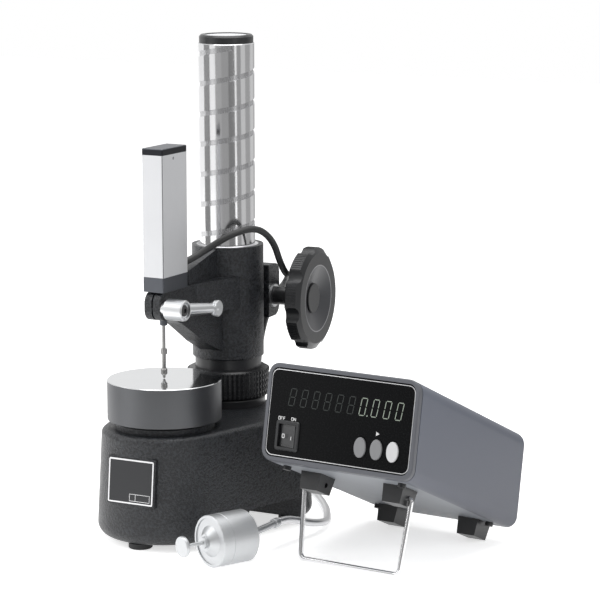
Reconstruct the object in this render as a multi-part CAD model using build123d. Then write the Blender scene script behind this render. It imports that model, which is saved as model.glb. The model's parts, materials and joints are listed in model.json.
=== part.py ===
"""Digital length gauge on a column stand, with its display counter and lifting release.

All sizes are millimetres. The origin is the centre of the platen's top face, below the
gauge's spindle. +X is to the right, +Y runs from the spindle to the column, +Z is up.
"""
import os
from math import asin, cos, degrees, pi, radians, sin, tan

from build123d import *

# Fits and gaps
PRESS_GAP = 0.05
SLIDE_GAP = 0.15
RUN_GAP = 0.3
SHAFT_GAP = 0.08

# Floor and platen
FLOOR_Z = -142.0
PLATEN_R = 50.0
PLATEN_H = 35.0
PLATEN_CHAMFER = 0.5
PLATEN_PAD_R = 42.0
PLATEN_PAD_H = 2.2

# Base casting
BASE_TOP_Z = -42.0
BASE_FOOT_H = 5.0
BASE_FOOT_R = 10.5
BASE_NOSE_R = 60.0
BASE_LOBE_R = 22.0
BASE_LOBE_X = 67.5
BASE_LOBE_Y = 101.0
BASE_REAR_R = 42.0
BASE_DRAFT = 3.0
BASE_TOP_FILLET = 5.0
BASE_BOTTOM_FILLET = 11.0
BASE_SEAT_R = 44.0
ARCH_Z = -116.0
ARCH_FRONT_Y = 26.0
ARCH_REAR_Y = 96.0
ARCH_CORNER_R = 6.0
FRONT_FOOT_Y = -42.0
REAR_FOOT_SHIFT = 3.0

# Nameplate and the flat seat cast for it
PLATE_W = 45.0
PLATE_H = 38.5
PLATE_T = 0.8
PLATE_FACE_Y = -56.0
PLATE_Z = -80.5
PLATE_LEAN = 5.5
PLATE_MARGIN = 1.5
PLATE_SEAT_DEPTH = 20.0

# Column, its groove, collar and cap
COLUMN_Y = 111.3
COLUMN_R = 25.0
COLUMN_TOP_Z = 285.0
COLUMN_SINK = 60.0
GROOVE_PITCH = 27.0
GROOVE_W = 4.6
GROOVE_DEPTH = 1.2
GROOVE_FRONT_Z = 11.0
GROOVE_FRONT_ANGLE = -61.3
GROOVE_LOW_Z = -30.0
GROOVE_HIGH_Z = 282.0
COLLAR_R = 33.5
COLLAR_H = 8.0
CAP_R = 24.2
CAP_H = 7.3
CAP_CHAMFER = 1.6
CAP_DISC_R = 19.0
CAP_RECESS = 1.4

# Elevating ring
RING_R = 36.5
RING_H = 25.7
RING_CHAMFER = 2.2
RING_NECK_R = 30.0
RING_NECK_H = 10.0
RING_FLUTES = 56
RING_FLUTE_DEPTH = 0.9
KEY_R = 2.1
KEY_REACH = 0.9
KEY_Z = 12.5

# Bracket casting
BODY_R = 32.3
BODY_H = 102.0
BODY_RIM_CHAMFER = 2.4
NOSE_HALF_T = 7.75
NOSE_FRONT_Y = -18.7
NOSE_LOW_Z = 53.3
NOSE_HIGH_Z = 78.2
NOSE_CORNER_R = 9.5
NOSE_REAR_Y = 12.0
ARM_NECK_HALF_T = 9.0
ARM_NECK_Y = 44.0
ARM_ROOT_R = 30.0
ARM_KNEE_Y = 18.0
ARM_KNEE_Z = 46.0
ARM_BEND_Y = 54.0
ARM_BEND_Z = 24.0
ARM_ROOT_Z = 11.0
ARM_RIDGE_Z = 50.0
ARM_KEEL_ROOT_R = 14.0
WEB_HALF_T = 7.0
WEB_FRONT_Y = 31.0
WEB_FRONT_Z = 91.0
WEB_CORNER_R = 5.0
NOSE_SLIT = 1.6
NOSE_SLIT_END_Y = 9.0

# Column clamp: lug, bush, screw and hand wheel, turned a little about the column
CLAMP_TURN = 5.5
CLAMP_BACK = 35.0
CLAMP_Z = 53.0
LUG_RIGHT = 29.5
LUG_LEFT = 20.0
LUG_REAR = 48.6
LUG_LOW_Z = 34.0
LUG_HIGH_Z = 82.0
LUG_ROUND = 10.0
LUG_SLIT = 2.0
CLAMP_SCREW_R = 6.0
BUSH_R = 10.5
BUSH_T = 2.0
WHEEL_R = 46.0
WHEEL_BACK = 60.0
WHEEL_T = 14.0
WHEEL_FACE_R = 30.0
WHEEL_BEVEL = 5.0
WHEEL_BEVEL_T = 3.0
WHEEL_WEB_T = 5.0
WHEEL_BOSS_R = 12.0
WHEEL_BOSS_H = 10.0
WHEEL_SHAFT_R = 8.2
WHEEL_CAP_R = 13.2
WHEEL_CAP_T = 2.0
SCOOPS = 8
SCOOP_R = 10.0
SCOOP_DEPTH = 3.6

# Stem clamp and its lever
STUD_Y = -13.3
STUD_Z = 64.5
STUD_R = 3.0
STUD_COLLAR_R = 5.2
STUD_COLLAR_L = 5.0
HUB_R = 9.2
HUB_L = 17.8
HUB_SOCKET_R = 7.2
HUB_SOCKET_DEPTH = 2.6
LEVER_REACH = 46.0
LEVER_SPLAY = 11.0
LEVER_DROP = 4.5
LEVER_ROOT_R = 6.0
LEVER_TIP_R = 4.7
LEVER_END_R = 7.3
LEVER_END_L = 8.0
SOCKET_SCREW_R = 5.0
SOCKET_SCREW_H = 1.8
SOCKET_FLATS = 4.0

# Gauge head
HEAD_HALF_W = 10.3
HEAD_FRONT = 16.2
HEAD_REAR = 24.7
HEAD_BLOCK_H = 13.0
HEAD_H = 106.0
HEAD_CAP_H = 5.7
HEAD_WALL = 2.0
HEAD_EDGE_R = 1.0
HEAD_CAP_ROUND = 2.2
SPIGOT_H = 2.0
STEM_R = 4.0
STEM_DEPTH = 8.0
WIPER_R = 3.3
WIPER_H = 5.0
SPINDLE_R = 1.5
SPINDLE_TRAVEL = 15.0
SPINDLE_COLLAR_R = 3.0
SPINDLE_COLLAR_Z = 22.0
SPINDLE_COLLAR_H = 4.5
SPINDLE_LOWER_R = 1.75
SPINDLE_TOP_Z = 120.0
TIP_H = 10.0
TIP_R = 2.8
TIP_BALL_R = 1.2
CARRIER_HALF_W = 5.0
CARRIER_H = 16.0
SCALE_T = 1.5
SCALE_L = 50.0
READER_H = 24.0
READER_HALF_W = 6.0
READER_GAP = 1.0
BOARD_HALF_W = 7.5
BOARD_T = 1.6
BOARD_LOW = 6.0
BOARD_TOP = 12.0
SPRING_R = 3.6
SPRING_WALL = 1.0
GLAND_R = 4.4
GLAND_L = 8.0
GLAND_FLANGE_T = 2.4
GLAND_Z = 97.0

# Signal cable
CABLE_R = 3.0
CABLE_COIL_R = 32.0
CABLE_COIL_W = 18.0
CABLE_COIL_H = 17.5
PLUG_R = 6.5
PLUG_L = 30.0

# Display counter, in its own frame: across, towards the rear, square to its bottom
COUNTER_X = 190.6
COUNTER_Y = -33.9
COUNTER_YAW = -5.0
COUNTER_TILT = 23.9
COUNTER_RAKE = 13.4
CASE_W = 149.4
CASE_H = 81.0
CASE_L = 193.0
CASE_R = 10.5
CASE_WALL = 2.0
BEZEL_T = 6.0
BEZEL_RIM = 3.7
WINDOW_T = 3.0
WINDOW_SINK = 0.8
PANEL_T = 2.0
BOTTOM_PLATE_SIDE = 11.7
BOTTOM_PLATE_INSET = 9.0
FOOT_SIDE = 22.0
FOOT_W = 20.0
FOOT_L = 24.0
FOOT_H = 15.0
FOOT_TAPER = 5.0
FRONT_FOOT_L_Y = 40.0
REAR_FOOT_PAST = 5.0
BUTTON_W = 11.2
BUTTON_H = 17.0
BUTTON_OUT = 1.6
BUTTON_STEM = 6.0
BUTTON_SIDE = 32.6
BUTTON_PITCH = 15.8
BUTTON_Z = -19.1
BUTTON_TRAVEL = 1.2
SWITCH_SIDE = 21.0
SWITCH_Z = -18.3
SWITCH_W = 23.5
SWITCH_H = 25.5
SWITCH_RIM = 3.0
SWITCH_RIM_OUT = 1.6
SWITCH_DEPTH = 16.0
ROCKER_TURN = 8.0
ROCKER_OUT = 1.2
DISPLAY_X = 3.2
DISPLAY_Z = 13.8
DISPLAY_SIDE = 10.0
DISPLAY_H = 22.0
DISPLAY_T = 6.0
INLET_X = 45.0
INLET_W = 28.0
INLET_H = 20.0
SOCKET_X = -30.0
SOCKET_Z = -10.0
SOCKET_R = 7.5
SOCKET_L = 3.0

# Wire bail
BAIL_WIRE_R = 2.1
BAIL_SIDE = 2.4
BAIL_TAPER = 4.4
BAIL_LEAN = 12.0
BAIL_BEND_R = 5.0
BAIL_PIN_IN = 8.0
BAIL_PIN_Y = 53.0
BAIL_PIN_DROP = 8.0

# Lifting release
RELEASE_X = 85.9
RELEASE_Y = -69.5
RELEASE_TURN = 24.0
RELEASE_R = 22.4
RELEASE_L = 37.0
RELEASE_WALL = 2.5
RELEASE_LINE = 11.0
RELEASE_NOSE_R = 13.5
RELEASE_NOSE_TIP_R = 5.0
RELEASE_NOSE_L = 7.6
RELEASE_FACE_R = 19.5
PLUNGER_R = 1.6
PLUNGER_OUT = 27.5
PLUNGER_TRAVEL = 15.0
PISTON_T = 5.0
KNOB_R = 9.0
KNOB_T = 3.6
FITTING_R = 3.0
FITTING_BEND_AT = 8.0
FITTING_BEND_R = 25.0
FERRULE_END = (104.7, 14.4, -119.6)
FITTING_NUT_R = 6.0
FITTING_NUT_L = 6.0
FERRULE_R = 4.2
FERRULE_L = 7.0
HOSE_R = 3.4
HOSE_COIL_R = 38.0
HOSE_COIL_W = 13.6
HOSE_COIL_H = 13.6
HOSE_END_L = 16.0
HOSE_END_BACK = 24.0

# Routes of the two free cords, chosen by hand
CABLE_ROUTE = [
    (0.0, 32.7, 97.0), (3.0, 44.5, 100.0), (10.0, 54.5, 106.0), (22.0, 61.6, 115.0), (33.0, 69.2, 121.7),
    (41.0, 83.5, 124.3), (45.5, 96.5, 120.3), (48.5, 110.5, 108.0), (50.0, 118.5, 89.7), (49.5, 130.0, 77.5),
    (43.0, 147.0, 74.0), (33.0, 162.0, 66.0), (19.0, 174.0, 54.0), (4.0, 183.0, 38.0), (-7.0, 187.0, 15.0),
    (-13.0, 189.0, -15.0), (-15.0, 190.0, -48.0), (-14.0, 193.0, -82.0), (-8.0, 203.0, -109.0),
    (4.0, 219.0, -126.0), (26.0, 240.0, -135.0), (58.0, 255.0, -139.0), (96.0, 265.0, -139.0),
    (130.0, 274.0, -139.0), (150.0, 280.0, -139.0), (166.3, 282.5, -139.0)]
CABLE_COIL_AT = (172.0, 250.0)
TAIL_ROUTE = [(200.0, 247.0, -131.0), (199.5, 234.0, -127.5), (194.0, 221.0, -121.0), (185.5, 209.0, -114.0)]
TAIL_LEAD = 15.0
HOSE_ROUTE = [
    (107.4, 43.0, -124.0), (111.2, 60.0, -129.8), (112.3, 80.0, -134.2),
    (108.0, 99.5, -137.6), (98.8, 117.0, -138.6), (88.5, 135.5, -138.6), (75.0, 155.0, -138.6),
    (60.0, 174.0, -138.6), (41.0, 194.0, -138.6), (20.0, 218.0, -138.6), (-4.0, 238.0, -138.6),
    (-24.0, 247.0, -138.6)]
HOSE_COIL_AT = (-40.0, 212.0)
HOSE_LEAD = 12.0

# Values worked out from the sizes above
BASE_BOTTOM_Z = FLOOR_Z + BASE_FOOT_H
COLLAR_TOP_Z = BASE_TOP_Z + COLLAR_H
RING_Z = COLLAR_TOP_Z + RUN_GAP
RING_TOP_Z = RING_Z + RING_H
BODY_Z = RING_TOP_Z + RING_NECK_H + RUN_GAP
BODY_TOP_Z = BODY_Z + BODY_H
BODY_BORE_R = COLUMN_R + SLIDE_GAP
BLOCK_Z = NOSE_HIGH_Z + RUN_GAP
HEAD_Z = BLOCK_Z + HEAD_BLOCK_H
HEAD_TOP_Z = HEAD_Z + HEAD_H
CARRIER_Z = SPINDLE_TOP_Z - CARRIER_H / 2
HUB_X = NOSE_HALF_T + RUN_GAP + STUD_COLLAR_L
WHEEL_FRONT = WHEEL_BACK + WHEEL_T
WINDOW_W = CASE_W - 2 * BEZEL_RIM
WINDOW_H = CASE_H - 2 * BEZEL_RIM
WINDOW_R = CASE_R - BEZEL_RIM
BOTTOM_PLATE_W = CASE_W - 2 * BOTTOM_PLATE_SIDE
REAR_FOOT_END_Y = CASE_L + REAR_FOOT_PAST
FOOT_X = BOTTOM_PLATE_W / 2 - FOOT_SIDE
BAIL_TOP_X = FOOT_X + FOOT_W / 2 + BAIL_SIDE
BAIL_FOOT_X = BAIL_TOP_X - BAIL_TAPER
BUTTON_X = WINDOW_W / 2 - BUTTON_SIDE
SWITCH_X = SWITCH_SIDE - WINDOW_W / 2
DISPLAY_W = WINDOW_W - 2 * DISPLAY_SIDE
RAKE_SLOPE = tan(radians(COUNTER_RAKE))
TILT_SIN = sin(radians(COUNTER_TILT))
TILT_COS = cos(radians(COUNTER_TILT))
COUNTER_Z = FLOOR_Z + (CASE_H / 2 + FOOT_H) * TILT_COS + REAR_FOOT_END_Y * TILT_SIN
RELEASE_Z = FLOOR_Z + RELEASE_R


def cylinder(radius, low, high, at=(0, 0)):
    """Upright cylinder between two heights."""
    return Pos(at[0], at[1], (low + high) / 2) * Cylinder(radius, high - low)


def tube(outer, inner, low, high, at=(0, 0)):
    return cylinder(outer, low, high, at) - cylinder(inner, low - 1, high + 1, at)


def block(x, y, z):
    """Box from three low-high pairs."""
    return Pos(sum(x) / 2, sum(y) / 2, sum(z) / 2) * Box(x[1] - x[0], y[1] - y[0], z[1] - z[0])


def side_plate(points, half_width):
    """Plate with an outline of (Y, Z) points, centred on X = 0."""
    outline = make_face(Plane.YZ * Polyline(*points, close=True))
    return extrude(outline, half_width, dir=(1, 0, 0), both=True)


def turned(points):
    """Solid turned about Z from an outline of (radius, Z) points."""
    return revolve(make_face(Plane.XZ * Polyline(*points, close=True)), Axis.Z)


def along_x(part, at):
    """Stand an upright part along +X with its foot at a point."""
    return Pos(*at) * Rot(0, 90, 0) * part


def hull(*shapes):
    return make_hull([edge for shape in shapes for edge in shape.edges()])


def edges_at(part, z, tolerance=0.01):
    return part.edges().filter_by_position(Axis.Z, z - tolerance, z + tolerance)


# Stand: base, feet, platen and nameplate
def base_plan(inset, z):
    lobes = [Pos(side * BASE_LOBE_X, BASE_LOBE_Y) * Circle(BASE_LOBE_R - inset) for side in (-1, 1)]
    plan = hull(Circle(BASE_NOSE_R - inset), *lobes, Pos(0, COLUMN_Y) * Circle(BASE_REAR_R - inset))
    return Pos(0, 0, z) * plan


def foot_places():
    rear = [(side * BASE_LOBE_X, BASE_LOBE_Y + REAR_FOOT_SHIFT) for side in (-1, 1)]
    return [(0, FRONT_FOOT_Y)] + rear


def underside_arch():
    low = BASE_BOTTOM_Z - 10
    reach = 2 * BASE_LOBE_X
    arch = block((-reach, reach), (ARCH_FRONT_Y, ARCH_REAR_Y), (low, ARCH_Z))
    return fillet(edges_at(arch, ARCH_Z).filter_by(Axis.X), ARCH_CORNER_R)


def plate_seat(margin, front, rear):
    """Block behind or before the seat's plane, larger than the nameplate by a margin."""
    half_w, half_h = PLATE_W / 2 + margin, PLATE_H / 2 + margin
    return block((-half_w, half_w), (front, rear), (-half_h, half_h))


def plate_place(part):
    """Lean a part built on the plane Y = 0 back onto the casting's front."""
    return Pos(0, PLATE_FACE_Y, PLATE_Z) * Rot(-PLATE_LEAN, 0, 0) * part


def make_base():
    inset = (BASE_TOP_Z - BASE_BOTTOM_Z) * tan(radians(BASE_DRAFT))
    casting = loft([base_plan(0, BASE_BOTTOM_Z), base_plan(inset, BASE_TOP_Z)], ruled=True)
    casting = fillet(edges_at(casting, BASE_TOP_Z), BASE_TOP_FILLET)
    casting = fillet(edges_at(casting, BASE_BOTTOM_Z), BASE_BOTTOM_FILLET)
    casting -= plate_place(plate_seat(PLATE_MARGIN, -PLATE_SEAT_DEPTH, 0))
    seat = plate_seat(PLATE_MARGIN, 0, PLATE_SEAT_DEPTH)
    casting += plate_place(fillet(seat.edges().group_by(Axis.Y)[0], PLATE_MARGIN / 2))
    casting -= underside_arch()
    seat_top = -PLATEN_H - PLATEN_PAD_H
    casting += cylinder(BASE_SEAT_R, BASE_TOP_Z - 1, seat_top)
    bore = COLUMN_R + PRESS_GAP
    return casting - cylinder(bore, BASE_TOP_Z - COLUMN_SINK, BASE_TOP_Z + 1, (0, COLUMN_Y))


def make_base_feet():
    feet = [chamfer(edges_at(foot, FLOOR_Z), 0.8) for foot in
            (cylinder(BASE_FOOT_R, FLOOR_Z, BASE_BOTTOM_Z, at) for at in foot_places())]
    return Compound(feet)


def make_platen():
    platen = cylinder(PLATEN_R, -PLATEN_H, 0)
    return chamfer(edges_at(platen, 0) + edges_at(platen, -PLATEN_H), PLATEN_CHAMFER)


def make_platen_pad():
    return cylinder(PLATEN_PAD_R, -PLATEN_H - PLATEN_PAD_H, -PLATEN_H)


def make_nameplate():
    plate = plate_seat(0, -PLATE_T, 0)
    return plate_place(fillet(plate.edges().filter_by(Axis.Y), PLATE_MARGIN))


# Column with its helical groove, and the collar and cap on it
def groove_angle(z):
    """Angle about the column, in degrees, at which the groove's middle is at a height."""
    return GROOVE_FRONT_ANGLE + 360 * (z - GROOVE_FRONT_Z) / GROOVE_PITCH


def make_column():
    rod = cylinder(COLUMN_R, BASE_TOP_Z - COLUMN_SINK, COLUMN_TOP_Z)
    rod = chamfer(edges_at(rod, COLUMN_TOP_Z), 0.6)
    path = Helix(GROOVE_PITCH, GROOVE_HIGH_Z - GROOVE_LOW_Z, COLUMN_R, center=(0, 0, GROOVE_LOW_Z))
    section = Plane(path @ 0, x_dir=(1, 0, 0), z_dir=path % 0) * Rectangle(2 * GROOVE_DEPTH, GROOVE_W)
    groove = sweep(section, path, is_frenet=True)
    rod -= Rot(0, 0, groove_angle(GROOVE_LOW_Z)) * groove
    return Pos(0, COLUMN_Y) * rod


def make_base_collar():
    collar = tube(COLLAR_R, COLUMN_R + PRESS_GAP, BASE_TOP_Z, COLLAR_TOP_Z, (0, COLUMN_Y))
    return fillet(edges_at(collar, COLLAR_TOP_Z).sort_by(SortBy.LENGTH)[-1], 2.0)


def make_column_cap():
    cap = cylinder(CAP_R, COLUMN_TOP_Z, COLUMN_TOP_Z + CAP_H, (0, COLUMN_Y))
    cap = chamfer(edges_at(cap, COLUMN_TOP_Z + CAP_H), CAP_CHAMFER)
    recess_r = CAP_DISC_R + PRESS_GAP
    top_z = COLUMN_TOP_Z + CAP_H
    return cap - cylinder(recess_r, top_z - CAP_RECESS, top_z + 1, (0, COLUMN_Y))


def make_cap_disc():
    low = COLUMN_TOP_Z + CAP_H - CAP_RECESS
    disc = cylinder(CAP_DISC_R, low, low + CAP_RECESS / 2, (0, COLUMN_Y))
    return disc - Pos(0, COLUMN_Y, low + CAP_RECESS / 2) * Cone(0.1, 1.6, 0.8)


# Elevating ring, which climbs the column's groove by its key
def ring_outline():
    """Circle with straight-flanked flutes all round."""
    points = []
    for step in range(RING_FLUTES):
        for share, radius in ((-0.2, RING_R), (0.2, RING_R), (0.5, RING_R - RING_FLUTE_DEPTH)):
            angle = 2 * pi * (step + share) / RING_FLUTES
            points.append((radius * cos(angle), radius * sin(angle)))
    return make_face(Polyline(*points, close=True))


def make_elevating_ring():
    grip = extrude(Pos(0, 0, RING_Z) * ring_outline(), RING_H)
    low, high, cut = RING_Z, RING_TOP_Z, RING_CHAMFER
    grip &= turned([(0, low), (RING_R - cut, low), (RING_R + 1, low + cut + 1), (RING_R + 1, high - cut - 1),
                    (RING_R - cut, high), (0, high)])
    ring = grip + cylinder(RING_NECK_R, RING_TOP_Z, RING_TOP_Z + RING_NECK_H)
    ring -= cylinder(COLUMN_R + RUN_GAP, RING_Z - 1, BODY_Z)
    ring -= make_key_pin(KEY_R + PRESS_GAP, RING_R - RING_CHAMFER)
    return Pos(0, COLUMN_Y) * ring


def make_key_pin(radius, outer):
    """Radial pin at the ring's mid height, where the groove passes."""
    z = RING_Z + KEY_Z
    inner = COLUMN_R - KEY_REACH
    pin = along_x(cylinder(radius, 0, outer - inner), (inner, 0, z))
    return Rot(0, 0, groove_angle(z)) * pin


def make_groove_key():
    return Pos(0, COLUMN_Y) * make_key_pin(KEY_R, RING_R - RING_CHAMFER - 1)


# Bracket casting
def arm_side():
    """Upper part of the arm from the side, down to the ridge along its flanks."""
    points = [(NOSE_FRONT_Y, NOSE_LOW_Z), (ARM_KNEE_Y - 16, NOSE_LOW_Z), (ARM_KNEE_Y - 8, ARM_RIDGE_Z),
              (COLUMN_Y, ARM_RIDGE_Z), (COLUMN_Y, NOSE_HIGH_Z), (NOSE_FRONT_Y, NOSE_HIGH_Z)]
    plate = side_plate(points, BODY_R)
    nose_edges = plate.edges().filter_by(Axis.X).group_by(Axis.Y)[0]
    return fillet(nose_edges, NOSE_CORNER_R)


def keel_side():
    """Narrower lower part of the arm, which falls to the root of the body."""
    return side_plate([(ARM_KNEE_Y - 16, NOSE_LOW_Z), (ARM_KNEE_Y, ARM_KNEE_Z), (ARM_BEND_Y, ARM_BEND_Z),
                       (COLUMN_Y - ARM_ROOT_R, ARM_ROOT_Z), (COLUMN_Y, ARM_ROOT_Z),
                       (COLUMN_Y, NOSE_LOW_Z)], BODY_R)


def arm_plan(root_r):
    """Arm seen from above: parallel nose, slight swell, then a flare onto the body."""
    half, wide, neck = NOSE_HALF_T, ARM_NECK_HALF_T, ARM_NECK_Y
    points = [(-half, NOSE_FRONT_Y), (half, NOSE_FRONT_Y), (half, NOSE_REAR_Y), (wide, neck), (-wide, neck),
              (-half, NOSE_REAR_Y)]
    flare = hull(Pos(0, neck) * Circle(wide), Pos(0, COLUMN_Y) * Circle(root_r))
    return extrude(make_face(Polyline(*points, close=True)) + flare, BODY_TOP_Z)


def arm_web():
    points = [(WEB_FRONT_Y, NOSE_HIGH_Z - 5), (COLUMN_Y, NOSE_HIGH_Z - 5), (COLUMN_Y, BODY_TOP_Z - 1),
              (COLUMN_Y - BODY_R, BODY_TOP_Z - 1), (WEB_FRONT_Y, WEB_FRONT_Z)]
    plate = side_plate(points, WEB_HALF_T)
    corner = plate.edges().filter_by(Axis.X).group_by(Axis.Y)[0].sort_by(Axis.Z)[-1]
    return fillet(corner, WEB_CORNER_R)


def clamp_place(part, along=0.0):
    """Put a part built on +Z onto the clamp screw's axis, with local X to the rear."""
    turn = radians(CLAMP_TURN)
    axis, back = (cos(turn), sin(turn), 0), (-sin(turn), cos(turn), 0)
    origin = (back[0] * CLAMP_BACK, COLUMN_Y + back[1] * CLAMP_BACK, CLAMP_Z)
    return Plane(origin=origin, x_dir=back, z_dir=axis).location * Pos(0, 0, along) * part


def lug_middle_z():
    return (LUG_LOW_Z + LUG_HIGH_Z) / 2 - CLAMP_Z


def clamp_lug():
    depth = LUG_REAR - COLUMN_R
    middle = (LUG_REAR + COLUMN_R) / 2 - CLAMP_BACK
    lug = Box(depth, LUG_HIGH_Z - LUG_LOW_Z, LUG_RIGHT + LUG_LEFT)
    lug = Pos(middle, lug_middle_z(), (LUG_RIGHT - LUG_LEFT) / 2) * lug
    rear_edges = lug.edges().filter_by(Axis.Z).group_by(Axis.X)[-1]
    lug = fillet(rear_edges, LUG_ROUND)
    return lug


def lug_slit():
    depth = LUG_REAR - COLUMN_R + 4
    slit = Box(depth, LUG_HIGH_Z - LUG_LOW_Z - 4, LUG_SLIT)
    return Pos(LUG_REAR - CLAMP_BACK - depth / 2 + 2, lug_middle_z(), 0) * slit


def make_bracket():
    body = cylinder(BODY_R, BODY_Z, BODY_TOP_Z, (0, COLUMN_Y))
    body = fillet(edges_at(body, BODY_Z), 1.2)
    arm = (arm_side() & arm_plan(ARM_ROOT_R)) + (keel_side() & arm_plan(ARM_KEEL_ROOT_R))
    casting = body + arm + arm_web() + clamp_place(clamp_lug())
    casting -= cylinder(BODY_BORE_R, BODY_Z - 1, BODY_TOP_Z + 1, (0, COLUMN_Y))
    rim = Cone(BODY_BORE_R - 0.5, BODY_BORE_R + BODY_RIM_CHAMFER, BODY_RIM_CHAMFER + 0.5)
    casting -= Pos(0, COLUMN_Y, BODY_TOP_Z - (BODY_RIM_CHAMFER + 0.5) / 2) * rim
    casting -= clamp_place(lug_slit())
    screw_hole = cylinder(CLAMP_SCREW_R + RUN_GAP, -LUG_LEFT - 1, LUG_RIGHT + 1)
    casting -= clamp_place(screw_hole)
    slit = block((-NOSE_SLIT / 2, NOSE_SLIT / 2), (NOSE_FRONT_Y - 1, NOSE_SLIT_END_Y),
                 (ARM_KNEE_Z - 5, NOSE_HIGH_Z + 1))
    casting -= slit
    casting -= cylinder(STEM_R + PRESS_GAP, ARM_KNEE_Z - 5, NOSE_HIGH_Z + 1)
    bore = cylinder(STUD_R + SHAFT_GAP, 0, 2 * NOSE_HALF_T + 2)
    return casting - along_x(bore, (-NOSE_HALF_T - 1, STUD_Y, STUD_Z))


# Column clamp on the bracket
def make_clamp_bush():
    return clamp_place(tube(BUSH_R, CLAMP_SCREW_R + RUN_GAP, LUG_RIGHT, LUG_RIGHT + BUSH_T))


def wheel_outline():
    back, front = WHEEL_BACK, WHEEL_FRONT
    shaft_end = LUG_RIGHT + BUSH_T + RUN_GAP
    rim_in = WHEEL_R - 9.0
    cap_seat = front - WHEEL_CAP_T - 4.0
    bore = CLAMP_SCREW_R + PRESS_GAP
    return [(bore, shaft_end), (WHEEL_SHAFT_R, shaft_end), (WHEEL_SHAFT_R, back - WHEEL_BOSS_H),
            (WHEEL_BOSS_R, back - WHEEL_BOSS_H + 2), (WHEEL_BOSS_R, back + 1), (rim_in, back + 4),
            (rim_in, back),
            (WHEEL_R - 1, back), (WHEEL_R, back + 1), (WHEEL_R, front - WHEEL_BEVEL_T),
            (WHEEL_R - WHEEL_BEVEL, front), (WHEEL_FACE_R, front), (WHEEL_CAP_R, cap_seat), (bore, cap_seat)]


def make_wheel():
    wheel = turned(wheel_outline())
    reach = WHEEL_R + SCOOP_R - SCOOP_DEPTH
    for step in range(SCOOPS):
        angle = 2 * pi * (step + 0.25) / SCOOPS
        at = (reach * cos(angle), reach * sin(angle))
        wheel -= cylinder(SCOOP_R, WHEEL_BACK - 1, WHEEL_FRONT + 1, at)
    return clamp_place(wheel)


def make_wheel_cap():
    seat = WHEEL_FRONT - WHEEL_CAP_T - 4.0
    cap = cylinder(WHEEL_CAP_R, seat, seat + WHEEL_CAP_T)
    return clamp_place(fillet(edges_at(cap, seat + WHEEL_CAP_T), 0.6))


def make_clamp_screw():
    end = WHEEL_FRONT - WHEEL_CAP_T - 4.0
    screw = cylinder(CLAMP_SCREW_R, -LUG_LEFT + 2, end)
    return clamp_place(chamfer(edges_at(screw, -LUG_LEFT + 2), 1.0))


# Stem clamp on the nose
def make_clamp_stud():
    stud = cylinder(STUD_R, 1 - NOSE_HALF_T, HUB_X) + cylinder(STUD_COLLAR_R, HUB_X - STUD_COLLAR_L, HUB_X)
    return along_x(stud, (0, STUD_Y, STUD_Z))


def make_lever():
    hub = chamfer(edges_at(cylinder(HUB_R, 0, HUB_L), HUB_L), 0.8)
    hub -= cylinder(HUB_SOCKET_R, HUB_L - HUB_SOCKET_DEPTH, HUB_L + 1)
    hub = along_x(hub, (HUB_X, STUD_Y, STUD_Z))
    root = Vector(HUB_X + HUB_L / 2, STUD_Y, STUD_Z)
    tip = root + Vector(LEVER_SPLAY, LEVER_REACH, -LEVER_DROP)
    across = Plane(root, z_dir=tip - root)
    arm = loft([across * Circle(LEVER_ROOT_R), Plane(tip, z_dir=tip - root) * Circle(LEVER_TIP_R)])
    wide, length = LEVER_END_R, LEVER_END_L
    end = turned([(0, 0), (wide - 2.2, 0), (wide - 1.0, 2.0), (wide, 4.5), (wide, length - 0.8),
                  (wide - 0.8, length), (0, length)])
    end = along_x(end, (tip.X - LEVER_END_L / 2, tip.Y, tip.Z))
    socket = along_x(cylinder(HUB_SOCKET_R, 0, 2), (HUB_X + HUB_L - HUB_SOCKET_DEPTH, STUD_Y, STUD_Z))
    return hub + (arm - socket) + end


def make_lever_screw():
    low = HUB_L - HUB_SOCKET_DEPTH
    head = cylinder(SOCKET_SCREW_R, low, low + SOCKET_SCREW_H)
    head = chamfer(edges_at(head, low + SOCKET_SCREW_H), 0.4)
    socket = extrude(RegularPolygon(SOCKET_FLATS / 2 / cos(radians(30)), 6), SOCKET_SCREW_H)
    return along_x(head - Pos(0, 0, low + 0.6) * socket, (HUB_X, STUD_Y, STUD_Z))


# Gauge head
def head_block(inset, low, high):
    x = (-HEAD_HALF_W + inset, HEAD_HALF_W - inset)
    return block(x, (-HEAD_FRONT + inset, HEAD_REAR - inset), (low, high))


def head_shape(low, high):
    shape = head_block(0, low, high)
    return fillet(shape.edges().filter_by(Axis.Z), HEAD_EDGE_R)


def make_housing():
    return head_shape(HEAD_Z, HEAD_TOP_Z) - head_block(HEAD_WALL, HEAD_Z - 1, HEAD_TOP_Z + 1)


def make_base_block():
    body = head_shape(BLOCK_Z, HEAD_Z) + head_block(HEAD_WALL + PRESS_GAP, HEAD_Z, HEAD_Z + SPIGOT_H)
    body -= cylinder(STEM_R + PRESS_GAP, BLOCK_Z - 1, BLOCK_Z + STEM_DEPTH)
    return body - cylinder(SPINDLE_R + RUN_GAP, BLOCK_Z, HEAD_Z + SPIGOT_H + 1)


def make_top_cap():
    cap = head_shape(HEAD_TOP_Z, HEAD_TOP_Z + HEAD_CAP_H)
    cap = fillet(edges_at(cap, HEAD_TOP_Z + HEAD_CAP_H), HEAD_CAP_ROUND * 0.4)
    return cap + head_block(HEAD_WALL + PRESS_GAP, HEAD_TOP_Z - SPIGOT_H, HEAD_TOP_Z)


def make_stem():
    return tube(STEM_R, SPINDLE_R + SHAFT_GAP, NOSE_LOW_Z - 1, BLOCK_Z + STEM_DEPTH)


def make_wiper():
    low = NOSE_LOW_Z - 1 - WIPER_H
    wiper = tube(WIPER_R, SPINDLE_R + SHAFT_GAP, low, NOSE_LOW_Z - 1)
    return chamfer(edges_at(wiper, low).sort_by(SortBy.LENGTH)[-1], 0.5)


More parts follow.
